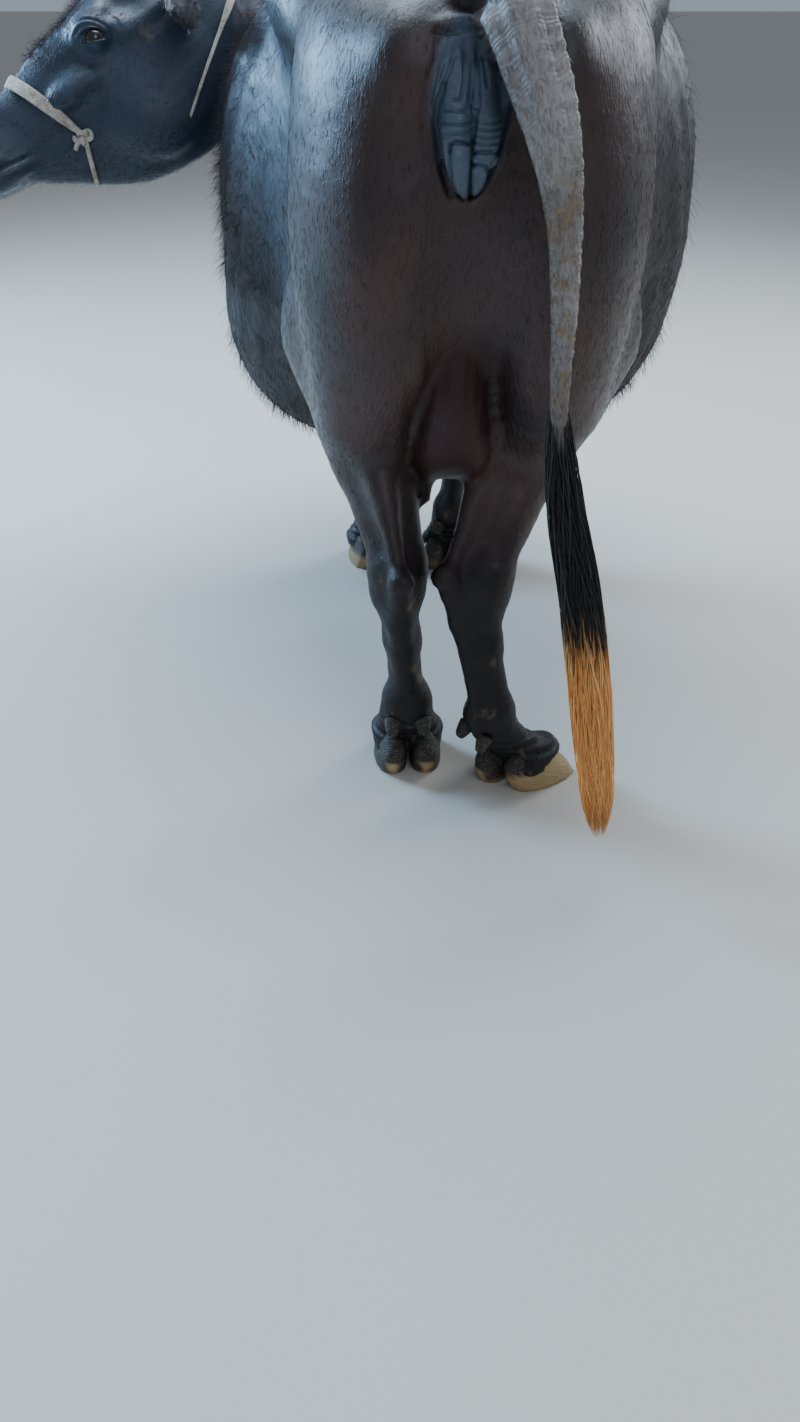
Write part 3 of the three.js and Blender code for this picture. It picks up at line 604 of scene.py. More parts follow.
def object_of(shell, name):
    mesh = bpy.data.meshes.new(name)
    shell.to_mesh(mesh)
    shell.free()
    piece = bpy.data.objects.new(name, mesh)
    bpy.context.scene.collection.objects.link(piece)
    return piece


def take_in(shell, part):
    """Adds one bmesh to another and frees it."""
    spare = bpy.data.meshes.new("spare")
    part.to_mesh(spare)
    part.free()
    shell.from_mesh(spare)
    bpy.data.meshes.remove(spare)


def places_of(mesh):
    co = np.empty(len(mesh.vertices) * 3, np.float32)
    mesh.vertices.foreach_get("co", co)
    return co.reshape(-1, 3).astype(float)


def set_places(mesh, points):
    mesh.vertices.foreach_set("co", np.asarray(points, np.float32).ravel())
    mesh.update()


def settle_mesh(shell, rounds):
    points = to_body(np.array([vert.co for vert in shell.verts]))
    points = to_row(settled(points, rounds))
    for vert, place in zip(shell.verts, points):
        vert.co = place


def refine(shell, wanted):
    centres = to_body(np.array([face.calc_center_median() for face in shell.faces]))
    chosen = wanted(centres)
    edges = dict.fromkeys(edge for face, take in zip(shell.faces, chosen) if take for edge in face.edges)
    bmesh.ops.subdivide_edges(shell, edges=list(edges), cuts=1, use_grid_fill=True)


def detailed(p):
    x, y, z = p.T
    h = head_place(p)
    on_face = (h[:, 1] > -60) & (head_part(p) < 12)
    ears = np.minimum(ear_left_part(p), ear_right_part(p)) < 10
    stern = (y < 270) & (x > -115) & (x < 110) & (z > 520) & (z < 1270) & (y < 130 + (z < 760) * 200)
    feet = z < 300
    hocks = (z < 480) & (z > 380)
    return on_face | ears | stern | feet | hocks | (tail_part(p) < 8)


def fine(p):
    ears = (np.minimum(ear_left_part(p), ear_right_part(p)) < 4) & (np.abs(head_place(p)[:, 0]) > 90)
    eyes = np.minimum(*(np.linalg.norm(p - eye_centre(s), axis=1) for s in (-1, 1))) < 60
    muzzle = (head_place(p)[:, 1] > 400) & (head_part(p) < 12)
    lips = np.linalg.norm((p - (-14, -85, 1085)) / (62, 60, 95), axis=1) < 1
    return ears | eyes | muzzle | lips | (p[:, 2] < 120)


def finest(p):
    lips = np.linalg.norm((p - (-14, -95, 1088)) / (56, 60, 100), axis=1) < 1
    return lips | (np.minimum(*(np.linalg.norm(p - eye_centre(s), axis=1) for s in (-1, 1))) < 36)


def make_skin():
    shell = bmesh.new()
    for name in FLESH:
        take_in(shell, swollen(name, EAR_SWELL if name.startswith("ear") else FLESH_SWELL))
    take_in(shell, swept(to_row(TAIL[26:TAIL_CORE]), lambda t: 0.018, lambda t: 0.018, 8, (0, 1, 0)))
    piece = object_of(shell, "skin")
    remesh = piece.modifiers.new("remesh", "REMESH")
    remesh.mode = "VOXEL"
    remesh.voxel_size = SKIN_VOXEL
    whole = bpy.data.meshes.new_from_object(piece.evaluated_get(bpy.context.evaluated_depsgraph_get()))
    piece.modifiers.clear()
    shell = bmesh.new()
    shell.from_mesh(whole)
    keep_largest(shell)
    settle_mesh(shell, 3)
    for _ in range(2):
        bmesh.ops.smooth_vert(
            shell, verts=shell.verts, factor=0.5, use_axis_x=True, use_axis_y=True, use_axis_z=True,
        )
    settle_mesh(shell, 2)
    coarse = bpy.data.meshes.new("skin_coarse")
    shell.to_mesh(coarse)
    refine(shell, detailed)
    settle_mesh(shell, 2)
    refine(shell, fine)
    settle_mesh(shell, 2)
    refine(shell, finest)
    settle_mesh(shell, 3)
    bmesh.ops.recalc_face_normals(shell, faces=shell.faces)
    for f in shell.faces:
        f.smooth = True
    shell.to_mesh(piece.data)
    shell.free()
    return piece, coarse


def keep_largest(shell):
    """Deletes all loose parts but the largest, in a fixed order, so that every run is alike."""
    seen, groups = set(), []
    for seed in reversed(list(shell.verts)):
        if seed in seen:
            continue
        seen.add(seed)
        group = [seed]
        for vert in group:
            for link in vert.link_edges:
                other = link.other_vert(vert)
                if other not in seen:
                    seen.add(other)
                    group.append(other)
        groups.append(group)
    groups.sort(key=len)
    for group in groups[:-1]:
        bmesh.ops.delete(shell, geom=group, context="VERTS")


# Camera and floor
# In pixels of the photograph: the focal length, the height, and how far the level lies above the middle
F_PIXELS, PHOTO_TALL, LEVEL_ABOVE = 1100, 1422, 731
CAMERA = np.array([-104.0, -1663.0, 1250.0])
camera_data = bpy.data.cameras.new("camera")
camera_data.sensor_fit = "AUTO"
camera_data.sensor_width = 36
camera_data.lens = 36 * F_PIXELS / PHOTO_TALL
camera_data.clip_end = 200
camera = bpy.data.objects.new("camera", camera_data)
bpy.context.scene.collection.objects.link(camera)
camera.location = to_row(CAMERA)
camera.rotation_euler = (math.radians(90) - math.atan(LEVEL_ABOVE / F_PIXELS), 0, 0)
bpy.context.scene.camera = camera

floor_shell = bmesh.new()
bmesh.ops.create_grid(floor_shell, x_segments=2, y_segments=2, size=60)
floor = object_of(floor_shell, "floor")


# Shader building
class Value:
    """An output of a shader node. Sums written with it add Math nodes."""

    def __init__(self, finish, socket):
        self.finish, self.socket = finish, socket

    def math(self, operation, first, second):
        return self.finish.node("ShaderNodeMath", {"operation": operation}, {0: first, 1: second})

    def __add__(self, other):
        return self.math("ADD", self, other)

    def __radd__(self, other):
        return self.math("ADD", other, self)

    def __sub__(self, other):
        return self.math("SUBTRACT", self, other)

    def __rsub__(self, other):
        return self.math("SUBTRACT", other, self)

    def __mul__(self, other):
        return self.math("MULTIPLY", self, other)

    def __rmul__(self, other):
        return self.math("MULTIPLY", other, self)

    def __truediv__(self, other):
        return self.math("DIVIDE", self, other)

    def __pow__(self, other):
        return self.math("POWER", self, other)

    def sine(self):
        return self.math("SINE", self, 0.0)

    def within(self, low, high):
        """0 below low, 1 above high, and a soft step between them."""
        sockets = {"Value": self, "From Min": low, "From Max": high}
        return self.finish.node("ShaderNodeMapRange", {"interpolation_type": "SMOOTHSTEP"}, sockets)


class Finish:
    """A material with its nodes."""

    def __init__(self, name):
        self.material = bpy.data.materials.new(name)
        self.material.use_nodes = True
        self.tree = self.material.node_tree
        self.surface = self.tree.nodes["Principled BSDF"]
        self.place = self.node("ShaderNodeTexCoord", out="Object")

    def node(self, kind, settings=None, sockets=None, out=0):
        node = self.tree.nodes.new(kind)
        for key, value in (settings or {}).items():
            setattr(node, key, value)
        for key, value in (sockets or {}).items():
            if isinstance(value, Value):
                self.tree.links.new(value.socket, node.inputs[key])
            else:
                node.inputs[key].default_value = value
        return Value(self, node.outputs[out])

    def mark(self, name):
        return self.node("ShaderNodeAttribute", {"attribute_name": name}, out="Fac")

    def stretched(self, scale, turn=(0, 0, 0)):
        return self.node("ShaderNodeMapping", None, {"Vector": self.place, "Rotation": turn, "Scale": scale})

    def noise(self, scale, detail=3.0, rough=0.55, where=None):
        sockets = {"Vector": where or self.place, "Scale": scale, "Detail": detail, "Roughness": rough}
        return self.node("ShaderNodeTexNoise", None, sockets)

    def cells(self, scale, out="Distance"):
        return self.node("ShaderNodeTexVoronoi", None, {"Vector": self.place, "Scale": scale}, out)

    def tint(self, factor, below, above):
        below = below if isinstance(below, Value) else (*below, 1)
        above = above if isinstance(above, Value) else (*above, 1)
        return self.node("ShaderNodeMix", {"data_type": "RGBA"}, {0: factor, 6: below, 7: above}, 2)

    def bump(self, height, distance, strength=1.0, after=None):
        sockets = {"Height": height, "Distance": distance, "Strength": strength}
        if after is not None:
            sockets["Normal"] = after
        return self.node("ShaderNodeBump", None, sockets)

    def use(self, **sockets):
        for key, value in sockets.items():
            socket = self.surface.inputs[key.replace("_", " ")]
            if isinstance(value, Value):
                self.tree.links.new(value.socket, socket)
            else:
                socket.default_value = value
        return self.material


# Markings of skin and coat, with painted shade, light and sheen among them, worked out for any place on her
def ripple(points, length, seed):
    """Soft unevenness between about -1 and 1, with waves about as long as given."""
    chance = np.random.default_rng(seed)
    total = np.zeros(len(points))
    for _ in range(9):
        way = unit(chance.normal(size=3)) * 2 * math.pi / (length * chance.uniform(0.6, 1.6))
        total += np.sin(points @ way + chance.uniform(0, 6.3))
    return total / 4.0


def tail_place(p):
    """How far along the tail a place is, from 0 to 1, and how far it lies from its middle line."""
    best = np.full(len(p), 1e9)
    share = np.zeros(len(p))
    for i in range(len(TAIL) - 1):
        along = TAIL[i + 1] - TAIL[i]
        t = np.clip(((p - TAIL[i]) @ along) / (along @ along), 0, 1)
        far = np.linalg.norm(p - TAIL[i] - t[:, None] * along, axis=1)
        closer = far < best
        best = np.where(closer, far, best)
        share = np.where(closer, (i + t) / (len(TAIL) - 1), share)
    return share, best


def markings(p):
    """How much of each colour lies at each place, from 0 to 1."""
    x, y, z = p.T
    uneven = ripple(p, 160, 3)
    stern = smooth(330 - y, 0, 200)
    share, far = tail_place(p)
    tail = smooth(62 - far + 20 * (share < 0.2), 0, 8) * smooth(share, 0.03, 0.08)
    tail = tail * (far < tail_wide(share) + 9 + 30 * (share > 0.42))
    lips = np.linalg.norm((p - (-12, -95, 1124)) / (54, 80, 116), axis=1)
    # Her bare lips: their own slate-grey skin, lightened and blued as a painted sheen.
    slate = smooth(1.12 - lips, 0, 0.3)
    # Reddish brown on her hind parts: partly her own hair colour, partly a painted warm reflection and light.
    reddish = stern * smooth(z, 360, 540) * smooth(1270 - z, 0, 160) * (0.75 + 0.35 * uneven)
    reddish *= smooth(330 - np.abs(x - 5), 0, 170) * (1 - slate)
    # Painted rim light: the hair along her left flank's outer edge is tinted brown as if lit through.
    edge = smooth(-x, 330, 420) * smooth(y, 350, 500) * smooth(1150 - y, 0, 200) * smooth(z, 640, 820)
    reddish = np.maximum(reddish, edge * 0.9)
    udderly = smooth(70 - np.abs(x + 18), 0, 25) * smooth(z, 540, 600) * smooth(860 - z, 0, 90)
    udderly *= smooth(300 - y, 0, 80)
    switch = tail * smooth(414 - z + 34 * ripple(p, 34, 8), -14, 14) * smooth(share, 0.4, 0.45)
    dusty = 0.85 * tail * smooth(z, 560, 680) * smooth(1120 - z, 0, 120) * (1 - smooth(share, 0.5, 0.55))
    mud = 0.5 * smooth(ripple(p, 60, 5), 0.55, 1.0) * smooth(640 - z, 0, 300) * (1 - tail)
    dusty = np.maximum(dusty, mud)
    temple = np.linalg.norm((head_place(p) - (-100, 121, -106)) / (50, 34, 24), axis=1)
    dusty = np.maximum(dusty, 0.5 * smooth(1 - temple, 0, 0.8))
    # Painted light: a bluish sky light painted on her left flank.
    painted_sky_light = 0.45 * smooth(-x, 180, 320) * smooth(y, 280, 420) * (1 - smooth(y, 1000, 1150))
    root = tail * (0.14 + 0.86 * smooth(z, 640, 960)) * smooth(z, 480, 600) * (0.75 + 0.25 * uneven)
    # Painted shade: her legs and lower belly are darkened where the shade under her falls.
    deep = np.maximum(smooth(610 - z, 0, 230), smooth(y, 290, 420) * smooth(1040 - z, 0, 330)) * (1 - tail)
    # Her face: where its hair streaks run, and where its painted bluish sheen lies.
    face = (head_part(p) < 40) & (head_place(p)[:, 1] > -40)
    pale = root + 0.05 * slate
    return dict(
        reddish=np.clip(reddish * (1 - tail), 0, 1), slate=np.maximum(slate, painted_sky_light) * (1 - tail),
        dusty=np.clip(dusty, 0, 1), switch=switch, udderly=udderly, pale=np.clip(pale, 0, 1),
        streaky=np.where(face, 1.0, 0.0), deep=deep,
    )


def store(mesh, name, values):
    mark = mesh.attributes.new(name, "FLOAT", "POINT")
    mark.data.foreach_set("value", np.asarray(values, np.float32))


# Relief of the skin, in millimetres outward
def groove(value, width):
    return np.exp(-((value / width) ** 2))


def spot(p, centre, radius):
    return np.exp(-np.sum((p - np.asarray(centre, float)) ** 2, axis=1) / radius ** 2)


# Creases under her tail: points across and up in millimetres, then depth and width
LIP_CREASES = (
    ([(5, 1112), (4, 1096), (1, 1072), (0, 1048), (1, 1012)], 10.0, 2.6),
    ([(-36, 1140), (-43, 1120), (-45, 1096), (-40, 1068), (-33, 1037), (-24, 1012)], 7.0, 3.2),
    ([(-28, 1073), (-28, 1057), (-24, 1036), (-17, 1018), (-7, 1007)], 5.0, 2.4),
    ([(-28, 1068), (-27, 1075), (-20, 1078), (-10, 1076), (-1, 1073)], 5.5, 2.0),
    ([(1, 1051), (10, 1054), (19, 1051), (23, 1044)], 5.0, 1.9),
    ([(2, 1064), (11, 1067), (29, 1067)], 5.0, 1.9),
    ([(46, 1116), (43, 1096), (37, 1070), (26, 1040), (16, 1019), (1, 1008)], 7.0, 3.2),
    ([(-34, 1112), (-20, 1111), (-8, 1112)], 3.4, 1.7),
    ([(-36, 1098), (-20, 1097), (-3, 1098)], 3.4, 1.7),
    ([(-33, 1088), (-20, 1087), (-3, 1088)], 2.0, 1.7),
    ([(7, 1100), (22, 1099), (36, 1101)], 1.8, 1.7),
    ([(7, 1092), (22, 1091), (36, 1093)], 2.0, 1.7),
    ([(5, 1084), (20, 1083), (34, 1085)], 1.8, 1.7),
    ([(3, 1076), (18, 1075), (33, 1077)], 1.8, 1.7),
    ([(-10, 1183), (-10, 1143), (-15, 1124), (-26, 1124)], 4.0, 2.2),
    ([(6, 1198), (6, 1143), (9, 1112)], 5.0, 2.2),
    ([(11, 1196), (12, 1170), (19, 1140)], 3.0, 2.0),
    ([(-43, 1190), (-46, 1171), (-57, 1140), (-62, 1110), (-60, 1090)], 3.4, 2.4),
    ([(-33, 1180), (-42, 1150), (-50, 1120)], 3.0, 2.2),
    ([(-22, 1176), (-32, 1150), (-38, 1138)], 2.6, 2.2),
    ([(-48, 1198), (-34, 1196), (-22, 1197), (-12, 1201), (12, 1203)], 8.0, 2.6),
)
LIP_SWELLS = (
    (-14, 1045, 12, 36, 6.0), (11, 1034, 10, 26, 5.5), (-21, 1100, 19, 26, 4.0), (23, 1092, 18, 30, 4.0),
    (-14, 1208, 30, 8, 6.0),
)


def crease_line(x, z, points):
    """How far places are from a drawn line, and less deep toward its two ends."""
    points = np.array(points, float)
    best = np.full(len(x), 1e9)
    at = np.zeros(len(x))
    for i in range(len(points) - 1):
        (ax, az), (bx, bz) = points[i], points[i + 1]
        wx, wz = bx - ax, bz - az
        t = np.clip(((x - ax) * wx + (z - az) * wz) / (wx * wx + wz * wz), 0, 1)
        far = np.hypot(x - ax - t * wx, z - az - t * wz)
        closer = far < best
        best = np.where(closer, far, best)
        at = np.where(closer, (i + t) / (len(points) - 1), at)
    return best, smooth(at, -0.15, 0.12) * smooth(1 - at, -0.15, 0.12)


def lip_relief(p):
    """Folds and swellings under her tail."""
    out = np.zeros(len(p))
    chosen = (np.abs(p[:, 0] + 13) < 80) & (p[:, 1] < -20) & (p[:, 2] > 985) & (p[:, 2] < 1240)
    q = p[chosen]
    if not len(q):
        return out
    x, z = q[:, 0] + 13, q[:, 2]
    total = np.zeros(len(q))
    for points, deep, width in LIP_CREASES:
        far, share = crease_line(x, z, points)
        total -= deep * share * np.exp(-((far / width) ** 2))
        total += 0.22 * deep * share * np.exp(-(((far - 2.6 * width) / (1.3 * width)) ** 2))
    for cx_, cz_, wide, tall, high in LIP_SWELLS:
        total += high * np.exp(-(((x - cx_) / wide) ** 2 + ((z - cz_) / tall) ** 2) ** 1.4)
    total -= 16 * np.exp(-(((x + 1) / 20) ** 2 + ((z - 1227) / 9) ** 2))
    out[chosen] = total * smooth(-q[:, 1], 20, 55) * smooth(80 - np.abs(x), 0, 14)
    return out


def relief(p):
    """All that stands out of or sinks into the skin, finer than the fields give."""
    x, y, z = p.T
    out = 0.5 * ripple(p, 40, 21)
    ribs = smooth(y, 380, 520) * smooth(1000 - y, 0, 100) * smooth(z, 560, 700) * smooth(1250 - z, 0, 120)
    out += 2.2 * ribs * np.sin((y + 0.35 * z) / 14.0)
    out += lip_relief(p)
    behind = smooth(140 - y, 0, 60) * smooth(z, 540, 570)
    rim = np.hypot((x + 23) / 66, np.minimum(z - 745, 0) / 168) - 1
    out -= 4.5 * behind * groove(rim * 60, 12) * smooth(850 - z, 0, 90)
    bag = behind * smooth(0.05 - rim, 0, 0.3) * smooth(900 - z, 0, 120)
    out -= 1.2 * bag * groove(x + 20 - 3 * np.sin(z / 40), 5.0) * (0.6 + 0.4 * np.sin(z / 31))
    out += 0.6 * bag * np.sin(x / 3.1 + 1.3 * np.sin(z / 44) + 0.7 * np.sin(x / 17)) * smooth(z, 610, 700)
    share, far = tail_place(p)
    tail = (far < tail_wide(share) + 12) * smooth(share, 0.06, 0.1) * smooth(0.5 - share, 0, 0.06)
    middle = np.stack([np.interp(share, np.linspace(0, 1, len(TAIL)), TAIL[:, k]) for k in range(3)], axis=1)
    turn = np.arctan2(-(y - middle[:, 1]), x - middle[:, 0])
    out += tail * (
        5.0 * groove(turn - 0.55, 0.20) - 3.4 * groove(turn - 0.95, 0.16) + 2.0 * groove(turn - 1.3, 0.2)
        - 2.0 * groove(turn - 1.7, 0.22) * smooth(share, 0.1, 0.14) + 3.5 * groove(turn - 2.75, 0.22)
        - 2.6 * groove(turn - 2.35, 0.2)
    ) * smooth(0.36 - share, 0, 0.2)
    out += tail * 0.8 * np.sin(share * 1300 / 2.9 + 2 * ripple(p, 50, 33)) * smooth(x - middle[:, 0], -10, 14)
    for leg in HIND.values():
        hock, cannon, turn_ = leg["hock"], leg["cannon"], leg["turn"]
        out += 10 * spot(p, stepped(hock, turn_, -leg["side"] * 2, -88, 44), 22)
        out += 4 * spot(p, stepped(hock, turn_, -4, -88, -6), 15)
        out -= 4 * spot(p, stepped(hock, turn_, -2, -90, 18), 10)
        for k in (-1, 1):
            out -= 4 * spot(p, stepped(hock, turn_, k * 40, -24, 96), 34)
            out -= 4 * spot(p, stepped(cannon, turn_, k * 30, -14, 30), 26)
    low = smooth(135 - z, 0, 30) * smooth(z, 62, 80)
    out += 1.4 * low * np.sin(z / 2.6 + 0.6 * np.sin(x / 12))
    out += 3.5 * groove(z - 66, 7) * (z < 100)
    out += neck_relief(p) + head_relief(p)
    return out


NECK = curve_through(NECK_PATH, 40)


def neck_relief(p):
    x, y, z = p.T
    best = np.full(len(p), 1e9)
    share = np.zeros(len(p))
    for i, place in enumerate(NECK):
        far = np.linalg.norm(p - place, axis=1)
        share = np.where(far < best, i, share)
        best = np.minimum(far, best)
    inner = smooth(1190 - y - 0.5 * (x + 250), 0, 90) * smooth(-x, 130, 200) * smooth(x, -470, -380)
    region = inner * (best < 240) * smooth(z, 830, 900) * smooth(1330 - z, 0, 80)
    way = x * -0.92 + y * -0.38
    return region * 3.2 * np.sin(way / 6.8 + 0.9 * np.sin(z / 70))


def head_relief(p):
    h = head_place(p)
    out = np.zeros(len(p))
    near_head = head_part(p) < 60
    if not near_head.any():
        return out
    hx, hy, hz = h.T
    for s in (-1, 1):
        out += 5.0 * np.exp(-(((hx - s * 88) / 26) ** 2 + ((hy - 196) / 40) ** 2 + ((hz + 34) / 16) ** 2))
        crest = np.clip((hy - 200) / 170, 0, 1)
        line = hz - mix(-112, -128, crest)
        out += 5.0 * groove(line, 13) * smooth(hy, 225, 260) * smooth(400 - hy, 0, 60) * (s * hx > 30)
        out -= 3.5 * groove(line + 34, 20) * smooth(hy, 240, 290) * smooth(420 - hy, 0, 60) * (s * hx > 30)
        arch = hz - mix(-92, -74, np.clip((200 - hy) / 150, 0, 1))
        out += 5.0 * groove(arch, 13) * smooth(185 - hy, 0, 30) * smooth(hy, 50, 90) * (s * hx > 40)
        q = p - eye_centre(s)
        outward, slit, up = eye_axes(s)
        a, b = q @ slit, q @ up
        from_ball = np.linalg.norm(q, axis=1)
        close = (from_ball < 76) * (q @ outward > 0) * smooth(from_ball, EYE_RADIUS + 2, EYE_RADIUS + 5)
        tilted = b - 0.10 * a
        far = np.hypot(a / 1.65, tilted * np.where(tilted > 0, 1.0, 1.2))
        upper, lower = smooth(tilted, -3, 10), smooth(-tilted, 1, 10)
        for radius, deep, wide in ((17, 1.4, 2.0), (26, 1.2, 2.6)):
            out -= upper * close * deep * groove(far - radius - 0.10 * a, wide)
            out += upper * close * deep * 0.7 * groove(far - radius - 0.10 * a - 4.0, 3.0)
        out += close * 2.6 * groove(far - 13.5, 2.4) * lower
        for radius, deep, wide in ((19, 1.3, 2.2), (27, 0.9, 3.0)):
            out -= lower * close * deep * groove(far - radius + 0.12 * a, wide)
        out -= 2.0 * close * groove(far - 40, 9) * (b > 0)
        wing = np.sqrt(((hx - s * 40) / 24) ** 2 + ((hz + 92) / 30) ** 2)
        out += 4.0 * groove(wing - 1.0, 0.28) * smooth(hy, 530, 560)
    lip = hz + mix(160, 148, np.clip((hy - 440) / 130, 0, 1))
    out -= 4.5 * groove(lip, 3.2) * smooth(hy, 415, 440)
    out += 4.0 * groove(lip - 15, 10) * smooth(hy, 450, 500)
    out += 3.0 * groove(lip + 13, 9) * smooth(hy, 450, 500)
    out += 2.5 * groove(np.abs(hx) - 30, 12) * (hz > -60) * smooth(hy, 240, 280) * smooth(440 - hy, 0, 60)
    return np.where(near_head, out, 0.0)


def creases(p):
    """Phase and depth of the fine wrinkles that the skin's finish draws."""
    x, y, z = p.T
    phase = z * 0.8 + 4 * ripple(p, 60, 31)
    depth = np.zeros(len(p))
    share, far = tail_place(p)
    tail = (far < tail_wide(share) + 12) & (share > 0.02)
    phase = np.where(tail, share * 1430 * 2 * math.pi / 8.0 + 4.5 * ripple(p, 42, 32), phase)
    middle = np.interp(share, np.linspace(0, 1, len(TAIL)), TAIL[:, 0])
    ridged = 0.22 + 0.5 * smooth(x - middle, 0, 16) + 0.3 * smooth(middle - x, 8, 22)
    depth = np.where(tail, ridged * smooth(share, 0.04, 0.1) * smooth(0.5 - share, 0, 0.05), depth)
    bag = 0.3 * smooth(60 - np.abs(x + 20), 0, 30) * smooth(z, 600, 680) * smooth(930 - z, 0, 160)
    bag = bag * smooth(140 - y, 0, 60) * (0.5 + 0.5 * ripple(p, 70, 36))
    fan = np.arctan2(x + 20, 1010 - z)
    groin = smooth(170 - np.abs(x + 20), 0, 60) * smooth(z, 560, 640) * smooth(850 - z, 0, 130)
    groin = groin * smooth(150 - y, 0, 60)
    lines = (x + 20) * 1.1 + 1.6 * np.sin(z / 33) + 2.2 * ripple(p, 70, 34)
    pleats = fan * 240 + 1.2 * np.sin(z / 26) + 2.6 * ripple(p, 55, 35)
    inside = np.abs(x + 20) < 62
    rear = ~tail & (bag + groin > 0.02)
    phase = np.where(rear, np.where(inside, lines, pleats), phase)
    depth = np.where(rear, np.where(inside, bag, 0.45 * groin * smooth(np.abs(x + 20), 62, 74)), depth)
    return phase, depth


# Points, triangles and normals of a mesh as arrays
def facets(mesh):
    mesh.calc_loop_triangles()
    corners = np.empty(len(mesh.loop_triangles) * 3, np.int32)
    mesh.loop_triangles.foreach_get("vertices", corners)
    normals = np.empty(len(mesh.vertices) * 3, np.float32)
    mesh.vertices.foreach_get("normal", normals)
    return to_body(places_of(mesh)), corners.reshape(-1, 3), normals.reshape(-1, 3).astype(float)


def next_ring(shell, edges):
    """The vertices and edges of a ring that is extruded from a closed ring of edges."""
    grown = bmesh.ops.extrude_edge_only(shell, edges=edges)["geom"]
    ring = [part for part in grown if isinstance(part, bmesh.types.BMVert)]
    members = set(ring)
    return ring, [
        part for part in grown
        if isinstance(part, bmesh.types.BMEdge) and all(vert in members for vert in part.verts)
    ]


def swept(points, wide, deep, sides, up):
    """A tube in metres, drawn from one ring that is extruded from station to station along a path."""
    shell = bmesh.new()
    points = np.asarray(points, float)
    bmesh.ops.create_circle(shell, cap_ends=False, segments=sides, radius=1)
    angle_of = shell.verts.layers.float.new("angle")
    for vert in shell.verts:
        vert[angle_of] = math.atan2(vert.co.y, vert.co.x)
    ring = list(shell.verts)
    edges = list(shell.edges)
    first = list(edges)
    along = np.gradient(points, axis=0)
    for i, point in enumerate(points):
        t = i / (len(points) - 1)
        if i:
            ring, edges = next_ring(shell, edges)
        ahead = unit(along[i])
        side = unit(np.cross(ahead, up))
        top = np.cross(side, ahead)
        for vert in ring:
            angle = vert[angle_of]
            vert.co = point + side * wide(t) * math.cos(angle) + top * deep(t) * math.sin(angle)
    bmesh.ops.holes_fill(shell, edges=first + edges, sides=0)
    bmesh.ops.recalc_face_normals(shell, faces=shell.faces)
    return shell


def finished(shell, name, material, nodes=(), levels=0):
    """A piece with its material and slot, tied to her body and shown for the nodes that it replaces."""
    piece = shell if isinstance(shell, bpy.types.Object) else object_of(shell, name)
    piece.data.materials.clear()
    piece.data.materials.append(material)
    for face_ in piece.data.polygons:
        face_.use_smooth = True
    if levels:
        rounder = piece.modifiers.new("rounder", "SUBSURF")
        rounder.levels = rounder.render_levels = levels
    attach(piece, "root")
    if nodes:
        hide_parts(*nodes)
    return piece


# Hide and hair finishes
# The third colour is partly slate-grey skin and partly a painted bluish sheen.
BLACK, BROWN, SLATE_AND_SHEEN_BLUE = (0.0100, 0.0090, 0.0095), (0.058, 0.0265, 0.0225), (0.050, 0.084, 0.132)
DUST, TAIL_GREY, STRAW = (0.20, 0.145, 0.09), (0.56, 0.52, 0.50), (0.72, 0.58, 0.36)
# The first colour here is a painted bluish sheen on her face.
FACE_SKY_SHEEN, SWITCH_SKIN = (0.0055, 0.0150, 0.0310), (0.16, 0.07, 0.025)
# The first tone here is painted shade; UDDER_RED is the udder's own colour.
PAINTED_SHADE_TONE, UDDER_RED = (0.0062, 0.0046, 0.0042), (0.030, 0.0085, 0.0080)
ORANGE, STREAK, LIT_TIP = (0.33, 0.125, 0.034), (0.020, 0.017, 0.019), (0.34, 0.13, 0.07)
HIDE_SHINE, SHEEN_ROUGHNESS = 0.28, 0.42


def hide_colour(f):
    """The colour of skin and coat, by the marks that both carry."""
    uneven = f.noise(9.0, 4, 0.6)
    # Reddish brown, partly her own colour and partly painted light and reflection.
    colour = f.tint(f.mark("reddish") * (0.55 + 0.6 * uneven), BLACK, BROWN)
    # Painted sheen: her face tinted blue, as sky reflected in its glossy hair.
    colour = f.tint(f.mark("streaky") * 0.92, colour, FACE_SKY_SHEEN)
    # Slate-grey of her bare lips with a painted bluish sheen, and painted bluish light on her left flank.
    colour = f.tint(f.mark("slate") * 0.9, colour, SLATE_AND_SHEEN_BLUE)
    # Painted shade, darker on her legs and lower belly.
    colour = f.tint(f.mark("deep") * 0.7, colour, PAINTED_SHADE_TONE)
    colour = f.tint(f.mark("udderly") * 0.85, colour, UDDER_RED)
    colour = f.tint(f.mark("pale") * (0.45 + 0.5 * uneven), colour, TAIL_GREY)
    patches = f.noise(38.0, 5, 0.7)
    return f.tint(f.mark("dusty") * patches.within(0.42, 0.62), colour, DUST)


def hide_sheen(f, most):
    """The sheen of skin and coat, none where she is pale or in deep shade."""
    f.surface.inputs["Specular IOR Level"].default_value = HIDE_SHINE
    f.surface.inputs["Coat Roughness"].default_value = SHEEN_ROUGHNESS
    return most * (1 - f.mark("deep")) * (1 - f.mark("pale"))


